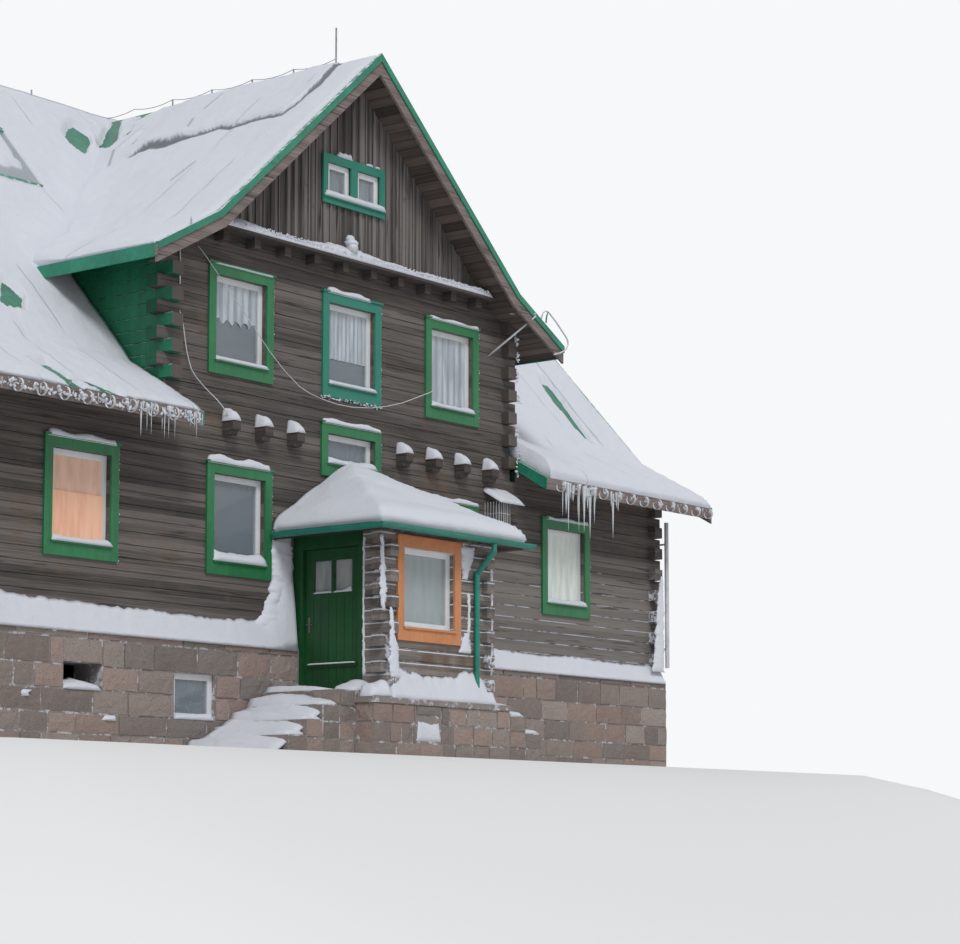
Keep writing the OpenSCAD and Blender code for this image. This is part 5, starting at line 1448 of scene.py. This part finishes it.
# %% Packed rime
crust("rime_crust_porch_front", "porch", 31,
      (0.0, 0.03, (2.10, -1.31, -1.27), (2.25, -1.385, -1.26), (2.60, -1.385, -1.25), (2.75, -1.375, -1.30),
       (3.2, -1.375, -1.33)),
      (0.1, 0.02, (1.15, -1.28, -1.05), (1.60, -1.28, -1.12), (1.90, -1.28, -1.20), (2.15, -1.28, -1.24)),
      (0.0, 0.025, (2.70, 0.52, 0.60), (2.95, 0.47, 0.74), (3.20, 0.46, 0.80)),
      (0.0, 0.018, (1.30, 1.19, 1.23), (2.00, 1.20, 1.23), (2.95, 1.18, 1.23)),
      (0.0, 0.020, (1.90, 0.62, 0.68), (2.10, 0.64, 0.69), (2.50, 0.62, 0.68)),
      (0.0, 0.025, (1.60, 0.42, 0.72), (1.75, 0.48, 0.70), (1.90, 0.53, 0.68)))
joints = [LOG_FOOT + COURSE * k for k in range(2, 7)]
crust("rime_crust_porch_side", "stub", 32,
      (0.0, 0.012, (1.2, -6.85, -6.80), (2.2, -6.83, -6.80), (3.2, -6.84, -6.80)),
      *[(0.0, 0.02, (z - 0.02, -7.13, -6.98), (z + 0.03, -7.13, -7.02)) for z in joints])
crust("rime_crust_walls", "front", 33,
      (0.0, 0.08, (1.85, -2.3, -1.28), (2.1, -1.95, -1.28), (2.4, -1.80, -1.28), (2.7, -1.76, -1.28),
       (3.0, -1.84, -1.28), (3.15, -1.78, -1.30), (3.3, -1.60, -1.34)),
      (0.15, 0.035, (1.80, 7.92, 8.28), (2.2, 8.00, 8.28), (2.8, 8.06, 8.28), (3.2, 8.12, 8.27), (3.5, 8.20, 8.26)),
      (0.13, 0.04, (0.69, -6.64, -6.50), (0.78, -6.60, -6.47)),
      (0.13, 0.03, (1.57, -6.14, -6.05), (1.64, -6.12, -6.07)),
      (0.13, 0.03, (0.60, -2.50, -2.39), (0.66, -2.49, -2.41)),
      (0.13, 0.04, (0.43, -5.22, -4.93), (0.50, -5.15, -5.0)))

# %% [markdown]
# ## Rods at the verge and the conductor on the ridge
# A bent end frame of thin bars stands at the right end of the wing verge, with
# two struts back to the wall, and a conductor runs along the ridge posts.

# %% Rods
def rod(name, path, radius, mat=rimed_zinc, sides=8):
    pts = [Vector(p) for p in path]
    verts = []
    for k, p in enumerate(pts):
        d = (pts[min(k + 1, len(pts) - 1)] - pts[max(k - 1, 0)]).normalized()
        a = d.orthogonal().normalized() if k == 0 else (a - d * a.dot(d)).normalized()
        b = d.cross(a)
        for f in [2 * math.pi * i / sides for i in range(sides)]:
            verts.append(p + (a * math.cos(f) + b * math.sin(f)) * radius)
    piece(name, verts, tube([range(k * sides, (k + 1) * sides) for k in range(len(pts))]), mat)


VERGE_Y = -6.065
FRAME = ((4.05, 7.36), (4.10, 7.48), (4.18, 7.525), (4.25, 7.52), (4.46, 7.39), (4.74, 7.18), (4.795, 7.12),
         (4.80, 7.06), (4.76, 6.99), (4.68, 6.93), (4.57, 6.882), (4.40, 6.83))
rod("verge_frame", [(x, VERGE_Y, z) for x, z in FRAME], 0.013)
rod("verge_frame_post", [(x, VERGE_Y, z) for x, z in ((4.185, 7.33), (4.20, 7.42), (4.235, 7.515))], 0.013,
    green_metal)
rod("verge_strut_long", [(3.433, -5.44, 6.73), (3.67, -5.76, 7.06), (3.91, VERGE_Y, 7.396)], 0.016)
rod("verge_strut_short", [(3.60, -5.76, 7.42), (3.91, VERGE_Y, 7.43)], 0.013)
rod("rimed_stick", [(-3.733, -5.468, 7.16), (-3.728, -5.472, 6.90), (-3.724, -5.468, 6.67)], 0.014)
rod("left_verge_rod", [(-4.05, -6.0, 7.19), (-4.05, -6.0, 7.52)], 0.012, dull_zinc)

# %% Conductor
SAG, POST_GAP, POST_TOP = 0.05, 0.89, wing_z(0) + 0.125
posts = [-5.11 + POST_GAP * k for k in range(12)]
sagged = [(0.0, a + (b - a) * f, POST_TOP - SAG * 4 * f * (1 - f))
          for a, b in zip(posts, posts[1:]) for f in (0, 0.25, 0.5, 0.75)]
rod("ridge_conductor", sagged + [(0.0, posts[-1], POST_TOP)], 0.006, dull_zinc, sides=6)

# %% [markdown]
# ## Snow balls on the lamps
# The gable lamp and the wire cage carry caps of packed snow.

# %% Lamp snow
def ball(name, centre, radii, seed):
    bm = bmesh.new()
    bmesh.ops.create_icosphere(bm, subdivisions=3, radius=1.0)
    verts = []
    for v in bm.verts:
        n = 1.0 + 0.16 * noise.fractal(v.co * 1.6 + Vector((seed, 0, 0)), 0.8, 2.0, 3)
        verts.append(Vector(centre) + Vector([c * r for c, r in zip(v.co, radii)]) * n)
    faces = [tuple(v.index for v in f.verts) for f in bm.faces]
    bm.free()
    piece(name, verts, faces, snow_plain)


ball("snow_on_gable_lamp", (-0.25, -5.67, 7.885), (0.115, 0.095, 0.055), 3.0)
ball("snow_on_gable_lamp_top", (-0.285, -5.67, 7.945), (0.075, 0.06, 0.06), 5.0)
lid = Heaps()
lid.add("front", 3.29, 3.94, 0.0, 0.36, lambda u, out: 4.49 - 0.2 / 0.34 * out, 0.075, 0.05, 8, 0.02)
lid.made("snow_on_cage_lid")

# %% [markdown]
# ## Ground, background and light
# The house stands on a plain pale mound, flat under its walls and falling away
# all round, because the camera stands lower than the base. Far from the house
# the mound is as white as the background. One wide sun and an even sky give
# plain soft light.

# %% Mound
def mound_z(x, y):
    d = math.hypot(max(0.0, abs(x) - 9.6), max(0.0, -8.4 - y, y - 7.2))
    return -5.2 * (1.0 - math.exp(-((d / 9.0) ** 1.6)))


def seen(t):
    """1 for what the camera sees, also in a gloss and through glass."""
    rays = put(t, "LightPath")
    return larger(rays["Is Camera Ray"], larger(rays["Is Glossy Ray"], rays["Is Transmission Ray"]))


ticks = [*np.arange(0.8, 30, 0.8), 34, 40, 50, 70, 100, 160]
ticks = sorted([-v for v in ticks] + [0.0] + ticks)
mesh = bpy.data.meshes.new("mound")
points = [(x, y, mound_z(x, y) - 0.001) for y in ticks for x in ticks]
mesh.from_pydata(points, [], grid(len(ticks), len(ticks)))
mesh.polygons.foreach_set("use_smooth", [True] * len(mesh.polygons))
pale = bpy.data.materials.new("mound")
t = blank(pale)
x, y, z = split(put(t, "TexCoord")["Object"])
far = step(calc("SQRT", x * x + y * y), 13.0, 30.0)
plain = put(t, "BsdfDiffuse", {"Color": (0.80, 0.80, 0.80, 1)})
white = put(t, "Emission", {"Color": (0.93, 0.94, 0.95, 1), "Strength": 1.0})
put(t, "OutputMaterial", {0: put(t, "MixShader", {0: far * seen(t), 1: plain, 2: white})})
mesh.materials.append(pale)
show("mound", mesh)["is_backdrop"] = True
print("mound:", len(mesh.vertices), "points")

# %% Light
SKY, SUN, SUN_WIDTH = 0.52, 1.5, math.radians(18)
world = bpy.data.worlds.new("sky")
bpy.context.scene.world = world
t = blank(world)
even = put(t, "Background", {"Color": (0.96, 0.98, 1.0, 1), "Strength": SKY})
white = put(t, "Background", {"Color": (0.93, 0.94, 0.95, 1), "Strength": 1.0})
put(t, "OutputWorld", {0: put(t, "MixShader", {0: seen(t), 1: even, 2: white})})
sun_data = bpy.data.lights.new("sun", "SUN")
sun_data.energy = SUN
sun_data.angle = SUN_WIDTH
sun = show("sun", sun_data)
sun.rotation_euler = Vector((-0.42, -0.55, 0.72)).to_track_quat("Z", "Y").to_euler()
bpy.context.scene.view_settings.view_transform = "Standard"
print("sky", SKY, "sun", SUN)

# %% Sizes
new_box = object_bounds()
for a in range(3):
    side = cad_box[1][a] - cad_box[0][a]
    print("xyz"[a], "over by", round(cad_box[0][a] - new_box[0][a], 3), round(new_box[1][a] - cad_box[1][a], 3),
          "of", round(0.03 * side + 0.01, 3))
